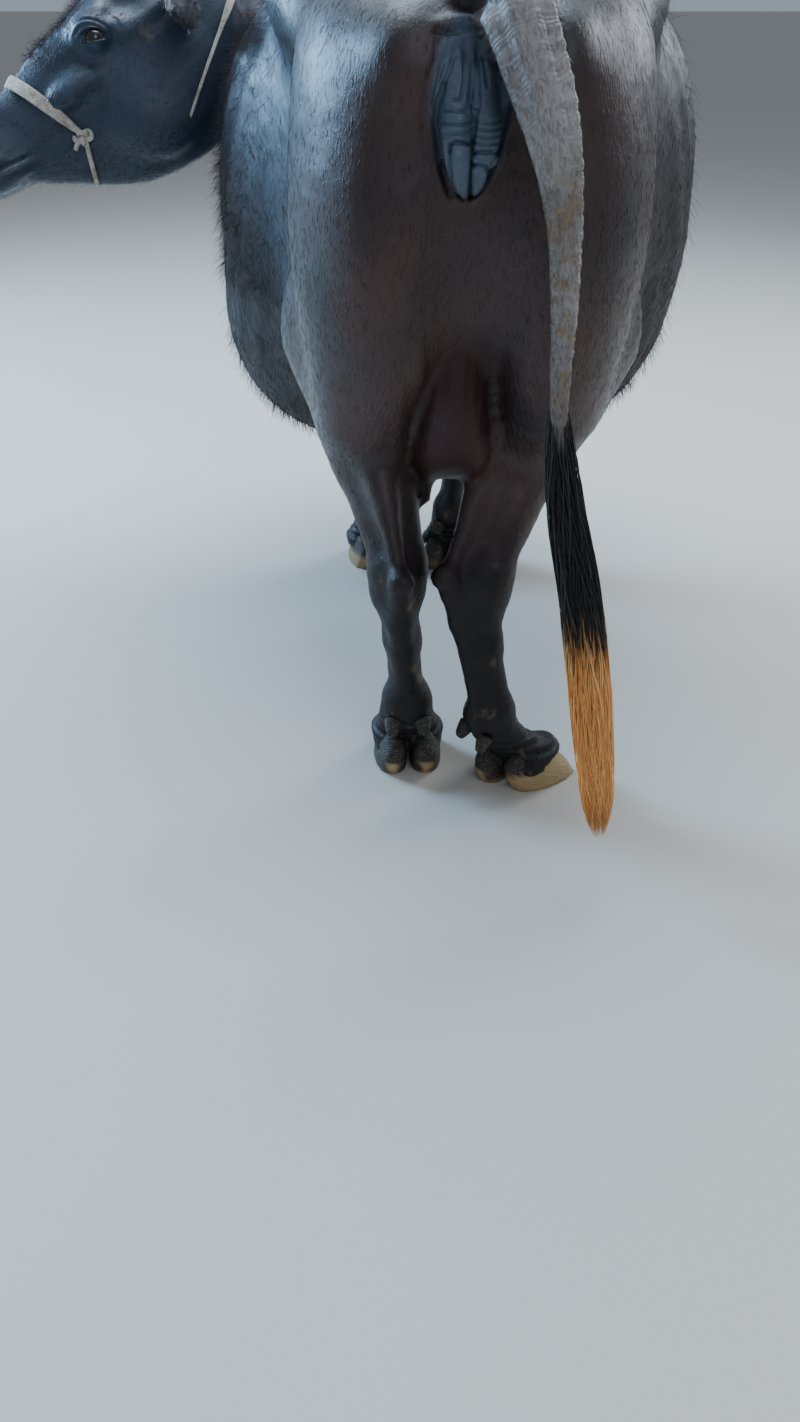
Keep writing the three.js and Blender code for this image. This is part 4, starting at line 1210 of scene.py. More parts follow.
def make_hide():
    f = Finish("hide")
    colour = f.tint(f.mark("switch"), hide_colour(f), SWITCH_SKIN)
    head_turn = Matrix(HEAD_AXES.tolist()).to_euler()
    down = f.stretched((300, 300, 42))
    down_fine = f.stretched((900, 900, 110))
    face_way = f.stretched((300, 50, 300), head_turn)
    streaks = f.noise(1.0, 4, 0.6, down)
    hairs = f.noise(1.0, 3, 0.6, down_fine)
    face_streaks = f.noise(1.0, 4, 0.6, face_way)
    streaks = streaks + (face_streaks - streaks) * f.mark("streaky")
    colour = f.tint(streaks.within(0.4, 0.8) * 0.25, colour, STREAK)
    straw_cells = f.cells(75.0, out="Distance")
    straw_pick = f.node("ShaderNodeSeparateColor", None, {0: f.cells(75.0, out="Color")})
    flecks = (1 - straw_cells.within(0.05, 0.12)) * straw_pick.within(0.93, 0.94)
    flecks = flecks * f.noise(5.0, 2).within(0.5, 0.62)
    colour = f.tint(flecks, colour, STRAW)
    pores = f.cells(420.0, out="Distance")
    wrinkle = f.mark("crease_phase").sine() * 0.5 + 0.5
    wrinkle = wrinkle * f.mark("crease_depth") * (0.35 + 0.9 * f.noise(55.0, 3))
    lumps = f.noise(60.0, 4, 0.6)
    relief_ = f.bump(lumps, 0.0022, 0.6)
    relief_ = f.bump(streaks, 0.0012, 0.8, relief_)
    relief_ = f.bump(hairs, 0.0005, 0.7, relief_)
    relief_ = f.bump(pores, 0.00035, 0.5, relief_)
    relief_ = f.bump(wrinkle, 0.0022, 0.8, relief_)
    gloss = 0.33 + 0.16 * streaks + 0.16 * f.noise(14.0, 3) + 0.14 * f.mark("pale") + 0.1 * f.mark("dusty")
    sheen = hide_sheen(f, 0.40) * (1 - 0.8 * f.mark("udderly"))
    return f.use(Base_Color=colour, Roughness=gloss, Coat_Weight=sheen, Normal=relief_)


def make_hair(name, tip_light):
    f = Finish(name)
    colour = f.tint(f.mark("switch"), hide_colour(f), ORANGE)
    colour = f.tint(f.mark("along") * f.mark("shade") * tip_light, colour, LIT_TIP)
    strands = f.noise(1.0, 2, 0.5, f.stretched((1500, 1500, 120)))
    lie = f.node("ShaderNodeAttribute", {"attribute_name": "skin_way"}, out="Vector")
    own = f.node("ShaderNodeNewGeometry", out="Normal")
    facing = f.node("ShaderNodeMix", {"data_type": "VECTOR"}, {0: 0.22, 4: lie, 5: own}, 1)
    return f.use(
        Base_Color=colour, Roughness=0.32 + 0.16 * f.mark("shade"), Coat_Weight=hide_sheen(f, 0.38),
        Normal=f.bump(strands, 0.0004, 0.4, facing),
    )


def make_tail_hair():
    f = Finish("tail_hair")
    shade = f.mark("shade")
    black = f.tint(shade, (0.006, 0.005, 0.005), (0.028, 0.022, 0.020))
    rust = f.tint(shade, (0.95, 0.34, 0.07), (1.0, 0.58, 0.20))
    colour = f.tint(f.mark("switch"), black, rust)
    strands = f.noise(1.0, 3, 0.6, f.stretched((1400, 1400, 60)))
    shine = f.tint(f.mark("switch"), (0.05, 0.042, 0.04), (0.9, 0.56, 0.26))
    colour = f.tint(strands.within(0.5, 0.8) * 0.35, colour, shine)
    f.surface.inputs["Specular IOR Level"].default_value = 0.5
    return f.use(Base_Color=colour, Roughness=0.38 + 0.2 * shade, Normal=f.bump(strands, 0.0008, 0.8))


def make_horn(name, dark, pale, ring):
    f = Finish(name)
    along = f.mark("along")
    rings = (along * ring).sine()
    grain = f.noise(1.0, 4, 0.65, f.stretched((260, 260, 260)))
    mud = f.noise(26.0, 5, 0.7)
    colour = f.tint(f.mark("worn") * (0.4 + 0.8 * mud), dark, pale)
    colour = f.tint(grain.within(0.45, 0.75) * 0.5, colour, tuple(0.55 * c + 0.02 for c in pale))
    relief_ = f.bump(rings * 0.5 + 0.5 + 0.35 * grain, 0.0012, 0.8)
    relief_ = f.bump(f.noise(700.0, 3), 0.0003, 0.5, relief_)
    return f.use(Base_Color=colour, Roughness=0.42 + 0.3 * grain, Normal=relief_)


def make_eye():
    f = Finish("eye")
    gaze = f.node("ShaderNodeUVMap", {"uv_map": "gaze"})
    parts = f.node("ShaderNodeSeparateXYZ", None, {0: gaze})
    a, b = parts, Value(f, parts.socket.node.outputs[1])
    pupil = ((a / 0.46) ** 2.0 + (b / 0.24) ** 2.0) ** 0.5
    iris = (a * a + b * b) ** 0.5
    fibres = f.noise(60.0, 4, 0.7, gaze)
    iris_tone = f.tint(fibres, (0.014, 0.007, 0.005), (0.04, 0.018, 0.009))
    colour = f.tint(iris.within(0.60, 0.68), iris_tone, (0.06, 0.04, 0.038))
    colour = f.tint(1 - pupil.within(0.9, 1.05), colour, (0.003, 0.004, 0.007))
    f.surface.inputs["Coat Weight"].default_value = 0.55
    f.surface.inputs["Coat Roughness"].default_value = 0.03
    return f.use(Base_Color=colour, Roughness=0.14 + 0.2 * fibres)


def make_cotton():
    f = Finish("halter_cotton")
    weave_map = f.node("ShaderNodeUVMap", {"uv_map": "weave"})
    parts = f.node("ShaderNodeSeparateXYZ", None, {0: weave_map})
    u, v = parts, Value(f, parts.socket.node.outputs[1])
    warp = (v * 2100.0 + 1.1 * (u * 1050.0).sine()).sine() * 0.5 + 0.5
    weft = (u * 1500.0).sine() * (v * 1050.0).sine() * 0.5 + 0.5
    grime = f.noise(60.0, 5, 0.7)
    colour = f.tint(grime.within(0.35, 0.72), (0.62, 0.58, 0.50), (0.24, 0.20, 0.155))
    colour = f.tint(warp * 0.35, colour, (0.30, 0.27, 0.22))
    relief_ = f.bump(warp * 0.6 + weft * 0.4, 0.0009, 0.9)
    relief_ = f.bump(f.noise(900.0, 3), 0.0004, 0.6, relief_)
    return f.use(Base_Color=colour, Roughness=0.86 + 0.1 * grime, Normal=relief_)


def make_floor():
    f = Finish("floor")
    grain = f.noise(180.0, 4)
    colour = f.tint(grain, (0.50, 0.46, 0.41), (0.55, 0.51, 0.455))
    return f.use(Base_Color=colour, Roughness=0.85 + 0.1 * grain)


# Skin
hide = make_hide()
skin, coarse = make_skin()
points = to_body(places_of(skin.data))
_, slope = slope_of(skin_field, points)
outward = slope / np.maximum(np.linalg.norm(slope, axis=1), 1e-6)[:, None]
points = points + outward * relief(points)[:, None]
set_places(skin.data, to_row(points))
for name, values in markings(points).items():
    store(skin.data, name, values)
phase, depth = creases(points)
store(skin.data, "crease_phase", phase)
store(skin.data, "crease_depth", depth)
finished(skin, "skin", hide, FLESH)

# An unwrap of the skin's own shape, on which each lock of hair has its place
flat = bpy.data.objects.new("unwrap", coarse)
bpy.context.scene.collection.objects.link(flat)
bpy.context.view_layer.objects.active = flat
flat.select_set(True)
bpy.ops.object.mode_set(mode="EDIT")
bpy.ops.mesh.select_all(action="SELECT")
bpy.ops.uv.smart_project(angle_limit=math.radians(66), island_margin=0.002)
bpy.ops.object.mode_set(mode="OBJECT")
coarse_points, coarse_corners, _ = facets(coarse)
coarse_loops = np.array([list(tri.loops) for tri in coarse.loop_triangles])
coarse_uv = np.empty(len(coarse.loops) * 2, np.float32)
coarse.uv_layers.active.data.foreach_get("uv", coarse_uv)
coarse_uv = coarse_uv.reshape(-1, 2)
coarse_tree = BVHTree.FromPolygons(coarse_points.tolist(), coarse_corners.tolist())
bpy.data.objects.remove(flat)


def unwrapped(places):
    spots = np.empty((len(places), 2))
    for i, place in enumerate(places.tolist()):
        where, _, index, _ = coarse_tree.find_nearest(place)
        a, b, c = coarse_points[coarse_corners[index]]
        ab, ac, ap = b - a, c - a, np.asarray(where) - a
        d00, d01, d11, d20, d21 = ab @ ab, ab @ ac, ac @ ac, ap @ ab, ap @ ac
        size = max(d00 * d11 - d01 * d01, 1e-9)
        v = (d11 * d20 - d01 * d21) / size
        w = (d00 * d21 - d01 * d20) / size
        spots[i] = np.array([1 - v - w, v, w]) @ coarse_uv[coarse_loops[index]]
    return spots


# Coat
COAT_PATCH = 0.003


def lock_mesh(name, spines, widths, flat_share, across, roots, material, root_way=None):
    """Joined thin closed locks, three-sided and pointed, each along its own spine."""
    count, stations, _ = spines.shape
    along = np.gradient(spines, axis=1)
    along /= np.maximum(np.linalg.norm(along, axis=2, keepdims=True), 1e-9)
    side = across[:, None, :] - np.sum(across[:, None, :] * along, axis=2, keepdims=True) * along
    side /= np.maximum(np.linalg.norm(side, axis=2, keepdims=True), 1e-9)
    lift = np.cross(side, along)
    turns = 2 * math.pi * np.arange(3) / 3 + math.pi / 2
    ring = (
        side[:, :-1, None, :] * np.cos(turns)[None, None, :, None]
        + lift[:, :-1, None, :] * (flat_share * np.sin(turns))[None, None, :, None]
    )
    rings = spines[:, :-1, None, :] + ring * widths[:, :-1, None, None]
    body = rings.reshape(count, -1, 3)
    vertices = np.concatenate([body, spines[:, -1:, :]], axis=1)
    per = vertices.shape[1]
    faces = [(2, 1, 0)]
    for row in range(stations - 2):
        for k in range(3):
            a, b = 3 * row + k, 3 * row + (k + 1) % 3
            faces += [(a, b, b + 3), (a, b + 3, a + 3)]
    last = 3 * (stations - 2)
    faces += [(last + k, last + (k + 1) % 3, per - 1) for k in range(3)]
    template = np.array(faces)
    corners = (template[None] + per * np.arange(count)[:, None, None]).reshape(-1)
    mesh = bpy.data.meshes.new(name)
    mesh.vertices.add(count * per)
    mesh.vertices.foreach_set("co", to_row(vertices.reshape(-1, 3)).astype(np.float32).ravel())
    mesh.loops.add(len(corners))
    mesh.loops.foreach_set("vertex_index", corners.astype(np.int32))
    mesh.polygons.add(len(corners) // 3)
    mesh.polygons.foreach_set("loop_start", np.arange(0, len(corners), 3, dtype=np.int32))
    mesh.polygons.foreach_set("use_smooth", np.ones(len(corners) // 3, bool))
    mesh.update(calc_edges=True)
    spot_u = np.concatenate([np.tile(np.arange(3) / 3.0, stations - 1), [0.5]])
    spot_v = np.concatenate([np.repeat(np.arange(stations - 1) / (stations - 1), 3), [1.0]])
    patch = (np.stack([spot_u, spot_v], axis=1) - 0.5) * COAT_PATCH
    places = (unwrapped(roots)[:, None, :] + patch[None]).reshape(-1, 2)
    mesh.uv_layers.new(name="OFBake").data.foreach_set("uv", places[corners].astype(np.float32).ravel())
    for mark, values in markings(roots).items():
        if name == "tail_hair" and mark == "switch":
            store(mesh, mark, tail_rust(vertices.reshape(-1, 3), count, per))
        else:
            store(mesh, mark, np.repeat(values, per))
    store(mesh, "shade", np.repeat(RANDOM.random(count), per))
    store(mesh, "along", np.tile(spot_v, count))
    if root_way is not None:
        ways = mesh.attributes.new("skin_way", "FLOAT_VECTOR", "POINT")
        ways.data.foreach_set("vector", np.repeat(root_way, per, axis=0).astype(np.float32).ravel())
    piece = bpy.data.objects.new(name, mesh)
    bpy.context.scene.collection.objects.link(piece)
    return finished(piece, name, material)


def tail_rust(vertices, count, per):
    own = np.repeat(RANDOM.normal(0, 16, count), per)
    return smooth(414 - vertices[:, 2] + own, -10, 10)


skin_points, skin_corners, skin_normals = facets(skin.data)
centres = skin_points[skin_corners].mean(axis=1)
sides_ = skin_points[skin_corners]
areas = np.linalg.norm(np.cross(sides_[:, 1] - sides_[:, 0], sides_[:, 2] - sides_[:, 0]), axis=1) / 2
face_out = skin_normals[skin_corners].mean(axis=1)


def rooted(weight, count):
    """Places on the skin, spread by area and by the weight of their region."""
    chance = areas * weight
    pick = RANDOM.choice(len(areas), count, p=chance / chance.sum())
    r1, r2 = np.sqrt(RANDOM.random(count)), RANDOM.random(count)
    shares = np.stack([1 - r1, r1 * (1 - r2), r1 * r2], axis=1)
    places = np.einsum("nk,nkd->nd", shares, skin_points[skin_corners[pick]])
    normals = np.einsum("nk,nkd->nd", shares, skin_normals[skin_corners[pick]])
    return places, normals / np.linalg.norm(normals, axis=1, keepdims=True)


def lie_of(p, n):
    """The way the coat lies: back and down on the trunk, down the legs, along the face and ears."""
    x, y, z = p.T
    way = np.stack([0.15 * np.sign(x), -0.55 * smooth(y, 200, 500), -np.ones(len(p))], axis=1)
    high = smooth(z, 1190, 1300)[:, None]
    way = mix(way, np.stack([0.25 * np.sign(x), -np.ones(len(p)), -0.3 + 0 * x], axis=1), high)
    under = smooth(-n[:, 2], 0.35, 0.9)[:, None]
    way = mix(way, np.stack([-0.2 * np.sign(x), -np.ones(len(p)), -0.6 + 0 * x], axis=1), under)
    on_neck = (smooth(y, 1120, 1230) * smooth(-x, 60, 180))[:, None]
    way = mix(way, np.array([0.75, -0.25, -0.75])[None], on_neck)
    h = head_place(p)
    on_face = ((head_part(p) < 30) & (h[:, 1] > -30))[:, None]
    curl = np.stack([0.5 * np.sign(h[:, 0]), 0.85 + 0 * x, -0.25 + 0 * x], axis=1) @ HEAD_AXES
    way = np.where(on_face, curl, way)
    for s, part in ((-1, ear_left_part), (1, ear_right_part)):
        root, _, tip = ear_frame(s)
        on_ear = ((part(p) < 6) & (np.abs(h[:, 0]) > 100))[:, None]
        way = np.where(on_ear, unit(tip - root)[None] + 0.0 * way, way)
    share, far = tail_place(p)
    on_tail = (far < tail_wide(share) + 12)[:, None] & (share > 0.05)[:, None]
    step = np.clip((share * (len(TAIL) - 1)).astype(int), 0, len(TAIL) - 2)
    way = np.where(on_tail, (TAIL[step + 1] - TAIL[step]) / np.linalg.norm(TAIL[1] - TAIL[0]), way)
    way = way - np.sum(way * n, axis=1, keepdims=True) * n
    return way / np.maximum(np.linalg.norm(way, axis=1, keepdims=True), 1e-6)


def coat(name, weight, count, lengths, width, lift, material, curl=0.0, droop=0.25, scatter=0.25):
    """One joined piece of tufts, rooted by weight, with lengths, width and curl in millimetres."""
    places, normals = rooted(weight, count)
    way = lie_of(places, normals)
    across = np.cross(normals, way)
    swing = RANDOM.normal(0, scatter, count)[:, None]
    way = way * np.cos(swing) + across * np.sin(swing)
    across = np.cross(normals, way)
    length = RANDOM.uniform(*lengths, count)
    raised = np.clip(RANDOM.normal(lift, lift * 0.4, count), 0.04, 1.2)
    if curl:
        stations = np.linspace(-0.05, 1, 8)
        taper = 1 - stations.clip(0) ** 2
    elif lengths[1] > 24:
        stations, taper = np.array([-0.06, 0.3, 0.62, 0.86, 1.0]), np.array([1.0, 0.95, 0.75, 0.42, 0.0])
    else:
        stations, taper = np.array([-0.06, 0.4, 0.78, 1.0]), np.array([0.8, 1.0, 0.62, 0.0])
    t = stations[None, :, None]
    run = length[:, None, None] * np.cos(raised)[:, None, None] * t
    rise = length[:, None, None] * np.sin(raised)[:, None, None] * (t - droop * t * np.abs(t))
    spines = places[:, None, :] + way[:, None, :] * run + normals[:, None, :] * rise
    if curl:
        wind = RANDOM.uniform(0, 6.3, count)[:, None, None] + t * RANDOM.uniform(4, 8, count)[:, None, None]
        turned = across[:, None, :] * np.sin(wind) + normals[:, None, :] * (1 + np.cos(wind)) * 0.6
        spines += curl * np.abs(t) * turned
    widths = RANDOM.uniform(0.7, 1.3, count)[:, None] * width * taper[None, :]
    return lock_mesh(name, spines, widths, 0.35, across, places, material, normals)


cx, cy, cz = centres.T
c_head = head_place(centres)
on_head_part = (head_part(centres) < 14) & (c_head[:, 1] > -50)
c_share, c_far = tail_place(centres)
on_tail_part = (c_far < tail_wide(c_share) + 10) & (c_share > 0.06)
ear_part = (np.minimum(ear_left_part(centres), ear_right_part(centres)) < 2) & (np.abs(c_head[:, 0]) > 105)
bare = np.linalg.norm((centres - (-14, -95, 1110)) / (60, 70, 115), axis=1) < 1
bag_part = (np.abs(cx + 20) < 66) & (cy < 300) & (cz > 480) & (cz < 820)
body_part = ~(on_head_part | on_tail_part | ear_part | bare | bag_part)
eye_clear = np.minimum(*(np.linalg.norm(centres - eye_centre(s), axis=1) for s in (-1, 1))) > 34
nose_clear = c_head[:, 1] < 520
leg_part = body_part & (cz < 560) & (np.minimum(hind_part(centres), fore_part(centres)) < 10)
trunk_part = body_part & ~leg_part

hair = make_hair("coat_hair", 0.5)
fringe_hair = make_hair("fringe_hair", 0.8)
flank = trunk_part & (cy > 300)
low_down = 0.5 + smooth(900 - cz, 0, 300)
coat("coat_left", flank * (cx < 0) * low_down, 11000, (12, 23), 0.62, 0.07, hair)
coat("coat_right", flank * (cx > 0) * low_down, 11000, (12, 23), 0.62, 0.07, hair)
belly = flank * (smooth(740 - cz, 0, 140) + 0.3 * smooth(-face_out[:, 1], 0.0, 0.5)) * (cy < 1150)
coat("coat_belly", belly, 8500, (22, 50), 0.5, 0.6, fringe_hair, droop=0.2, scatter=0.3)
edge = flank * smooth(-cx, 300, 380) * (cz > 760) * (cz < 1200) * (cy < 1150)
coat("coat_flank_edge", edge, 3800, (20, 48), 0.45, 0.6, fringe_hair, droop=0.1, scatter=0.4)
coat("coat_rump", trunk_part * (cy <= 320), 11000, (7, 15), 0.45, 0.05, hair)
coat("coat_legs", leg_part * (cz > 70), 9000, (6, 13), 0.42, 0.08, hair)
on_top = 0.5 + (c_head[:, 2] > -30)
coat("coat_head", on_head_part * eye_clear * nose_clear * on_top, 9000, (5, 12), 0.5, 0.14, hair)
brow = on_head_part * eye_clear * (c_head[:, 2] > -48) * (np.abs(c_head[:, 0]) < 75)
brow = brow * (c_head[:, 1] < 330) * (0.25 + smooth(60 - np.abs(c_head[:, 0]), 0, 30))
coat("coat_forehead", brow, 2800, (20, 40), 0.55, 0.36, fringe_hair, curl=4.0, scatter=0.7)
coat("coat_ears", ear_part * 1.0, 2600, (12, 30), 0.45, 0.3, fringe_hair, droop=0.0, scatter=0.4)
coat("coat_tail", on_tail_part * (c_share < 0.5), 2600, (6, 12), 0.5, 0.12, hair)
chin = on_head_part * (face_out @ head_top < -0.3) + on_head_part * (~nose_clear) * 0.3
coat("coat_chin", chin * eye_clear, 1500, (10, 26), 0.35, 0.4, fringe_hair, droop=0.3, scatter=0.3)

# Long hair of the tail, black above and rust at its end
switch_wide = profile([[0, 19], [0.15, 25], [0.4, 30], [0.65, 31], [0.86, 26], [0.96, 17], [1, 7]])
STRANDS, STRAND_STATIONS = 3600, 8
start = TAIL_CUT - 0.05 + (0.93 - TAIL_CUT) * RANDOM.random(STRANDS) ** 0.8
finish_at = np.minimum(start + RANDOM.uniform(0.16, 0.36, STRANDS), RANDOM.uniform(0.94, 1.0, STRANDS))
start = np.minimum(start, finish_at - 0.05)
spin = RANDOM.uniform(0, 2 * math.pi, STRANDS)
t = np.linspace(0, 1, STRAND_STATIONS)[None, :]
where = mix(start[:, None], finish_at[:, None], t)
at = np.linspace(0, 1, len(TAIL))
spines = np.stack([np.interp(where, at, TAIL[:, k]) for k in range(3)], axis=2)
along_tail = unit(TAIL[-1] - TAIL[len(TAIL) // 2])
tail_side = unit(np.cross(along_tail, (0, 1, 0)))
tail_back = np.cross(tail_side, along_tail)
share_in = np.clip((where - TAIL_CUT) / (1 - TAIL_CUT), 0, 1)
opening = np.clip(0.3 + 1.5 * t, 0.3, 1.0)
spread = switch_wide(share_in) * opening * RANDOM.uniform(0.55, 1.08, STRANDS)[:, None]
spin = spin[:, None] + 0.5 * np.sin(3.0 * t + RANDOM.uniform(0, 6.3, STRANDS)[:, None])
out_way = np.cos(spin)[..., None] * tail_side + 0.72 * np.sin(spin)[..., None] * tail_back
spines = spines + out_way * spread[..., None]
strand_width = RANDOM.uniform(0.6, 1.7, STRANDS)[:, None] * (1 - t ** 3 * 0.8)
roots = np.stack([np.interp(start, at, TAIL[:, k]) for k in range(3)], axis=1) + out_way[:, 0] * 14
tail_hair = lock_mesh(
    "tail_hair", spines, strand_width, 0.5, np.cross(out_way[:, 0], along_tail), roots, make_tail_hair(),
)
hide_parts("tail_switch")


# Eyes
def make_eyes():
    finish = make_eye()
    for name, s in (("left", -1), ("right", 1)):
        shell = bmesh.new()
        bmesh.ops.create_uvsphere(shell, u_segments=40, v_segments=28, radius=1)
        out_way, slit, up = eye_axes(s)
        places = np.array([vert.co for vert in shell.verts])
        turned = places @ np.stack([slit, up, out_way])
        forward = places[:, 2]
        bulge = 1.045 + 0.06 * smooth(forward, 0.72, 1.0)
        gaze_map = shell.loops.layers.uv.new("gaze")
        for face_ in shell.faces:
            for loop in face_.loops:
                loop[gaze_map].uv = (loop.vert.co.x, loop.vert.co.y)
        for vert, place, size in zip(shell.verts, turned, bulge):
            vert.co = to_row(eye_centre(s) + place * EYE_RADIUS * size)
        bmesh.ops.recalc_face_normals(shell, faces=shell.faces)
        finished(shell, f"eyeball_{name}", finish, [f"eye_{name}"])


make_eyes()


# Horns, swept back and up into a curl
HORN_PATH = (
    (56, 14, -30), (92, -10, -22), (120, -46, -14), (130, -86, 10), (116, -104, 46), (90, -92, 70),
    (74, -62, 68), (78, -44, 44), (96, -50, 26),
)
HORN_STATIONS = 96
horn_finish = make_horn("horn", (0.020, 0.017, 0.015), (0.12, 0.095, 0.07), 150.0)


def ridged(t, size):
    return (size + 0.9 * math.sin(t * 120) * (1 - t) + 1.2 * math.sin(t * 37) * (1 - t)) * MM


for name, s in (("left", -1), ("right", 1)):
    path = curve_through([on_head(s * x, y, z) for x, y, z in HORN_PATH], HORN_STATIONS)
    horn = swept(
        to_row(path), lambda t: ridged(t, mix(33, 7, t)), lambda t: ridged(t, mix(23, 6, t)), 28, head_top,
    )
    piece = finished(horn, f"horn_{name}_fine", horn_finish, [f"horn_{name}"])
    fine_places = to_body(places_of(piece.data))
    nearest = np.array([np.argmin(np.sum((path - place) ** 2, axis=1)) for place in fine_places])
    share = nearest / (HORN_STATIONS - 1)
    store(piece.data, "along", share)
    store(piece.data, "worn", 0.6 * smooth(share, 0.4, 1.0))


# Claws and dewclaws
CLAW_LENGTH, CLAW_HALF_WIDTH = 118, 30


def claw_field(leg, k):
    ahead, sideways = heading(leg.get("claw_turn", leg["turn"]) - k * leg.get("splay", 5))
    spread = leg.get("spread", CLAW_HALF_WIDTH + 4)
    centre = stepped(leg["foot"], leg.get("foot_turn", leg["turn"]), k * spread, 0, 0)
    half = CLAW_LENGTH / 2

    def field(p):
        q = p - centre
        across = q @ sideways
        lean = q @ ahead + q[:, 2] * 0.5
        x = across / CLAW_HALF_WIDTH
        y = (lean - 8) / (half + 8)
        z = q[:, 2] / 78
        narrow = 1 + 0.3 * np.clip(y, 0, 1)
        share = np.abs(x * narrow) ** 2.6 + np.abs(y) ** 2.6 + np.abs(z) ** 2.4
        return (share ** (1 / 2.5) - 1) * 28

    return field, centre, ahead, sideways


claw_finish = make_horn("hoof_horn", (0.010, 0.009, 0.0085), (0.52, 0.35, 0.16), 330.0)


def make_claw(place, name, leg, which, k):
    field, centre, ahead, sideways = claw_field(leg, k)
    shell = bmesh.new()
    bmesh.ops.create_uvsphere(shell, u_segments=40, v_segments=26, radius=1)
    rays = np.array([vert.co for vert in shell.verts])
    rays /= np.linalg.norm(rays, axis=1)[:, None]
    origin = centre + np.array([0, 0, 20])
    low, high = np.zeros(len(rays)), np.full(len(rays), 130.0)
    for _ in range(24):
        middle = (low + high) / 2
        inside = (field(origin + rays * middle[:, None]) < 0) & (origin[2] + rays[:, 2] * middle > 0)
        low = np.where(inside, middle, low)
        high = np.where(inside, high, middle)
    places = origin + rays * low[:, None]
    height = places[:, 2]
    rings = 0.5 * np.sin((height + 0.45 * ((places - centre) @ ahead)) / 1.9) * smooth(height, 2, 8)
    places = places + rays * rings[:, None] * (height > 1)[:, None]
    places[:, 2] = np.maximum(places[:, 2], 0.0)
    for vert, spot_ in zip(shell.verts, to_row(places)):
        vert.co = spot_
    bmesh.ops.recalc_face_normals(shell, faces=shell.faces)
    node = f"claw_{place}_{name}_{which}"
    piece = finished(shell, f"{node}_fine", claw_finish, [node])
    q = places - centre
    store(piece.data, "along", (q[:, 2] + 0.45 * (q @ ahead)) / 160.0)
    outer, ahead_of = (q @ sideways) * k, q @ ahead
    wedge = smooth(17 - np.abs(outer - 3) - 0.35 * (34 - q[:, 2]), 0, 5) * smooth(38 - q[:, 2], 0, 6)
    worn = wedge * smooth(-ahead_of, 18, 34)
    if place == "hind" and name == "right":
        wall = smooth(outer, -4, 10) * smooth(58 - q[:, 2] + 0.25 * ahead_of, 0, 8)
        worn = np.maximum(worn, wall * (k == leg["side"]) + 0.4 * smooth(16 - q[:, 2], 0, 10))
    if place == "fore" and name == "left":
        worn = worn + 0.7 * smooth(50 - q[:, 2], 0, 20)
    worn = worn + 0.25 * smooth(12 - q[:, 2], 0, 8)
    if place == "fore" and name == "right":
        worn = worn * 0.2
    store(piece.data, "worn", np.clip(worn, 0, 1))


def make_dewclaw(place, name, leg, which, k):
    root = stepped(leg["fetlock"], leg["turn"], k * 26, -30, -20)
    tip = stepped(leg["fetlock"], leg["turn"], k * 30, -49, -50)
    path = to_row([mix(root, tip, t) for t in np.linspace(0, 1, 7)])
    ahead, _ = heading(leg["turn"])
    shell = swept(
        path, lambda t: (17 - 9 * t ** 2) * MM, lambda t: (14 - 8 * t ** 2) * MM, 14, ahead,
    )
    node = f"dewclaw_{place}_{name}_{which}"
    piece = finished(shell, f"{node}_fine", claw_finish, [node], levels=1)
    height = to_body(places_of(piece.data))[:, 2]
    store(piece.data, "along", height / 160.0)
    store(piece.data, "worn", 0.0 * height)


for place, legs in (("hind", HIND), ("fore", FORE)):
    for name, leg in legs.items():
        for which, k in (("inner", -leg["side"]), ("outer", leg["side"])):
            make_claw(place, name, leg, which, k)
            make_dewclaw(place, name, leg, which, k)


# Halter: a woven band round the nose, its knot, and a strap behind the jaw
skin_tree = BVHTree.FromPolygons(skin_points.tolist(), skin_corners.tolist())
cotton = make_cotton()


def round_loop(centre, a, downs, count, lift, out_to):
    """A taut closed line round the skin, across and down from its centre."""
    turns = np.linspace(0, 2 * math.pi, count, endpoint=False)
    rays = np.cos(turns)[:, None] * a + np.sin(turns)[:, None] * downs
    reach = []
    for ray in rays:
        far = centre + ray * out_to
        hit = skin_tree.ray_cast(Vector(far), Vector(-ray))
        reach.append(out_to - hit[3] if hit[0] is not None else 60.0)
    reach = np.array(reach)
    for _ in range(40):
        wide = 0.5 * (np.roll(reach, 1) + np.roll(reach, -1)) / math.cos(2 * math.pi / count)
        reach = np.maximum(reach, wide)
    return centre + rays * (reach + lift)[:, None], rays


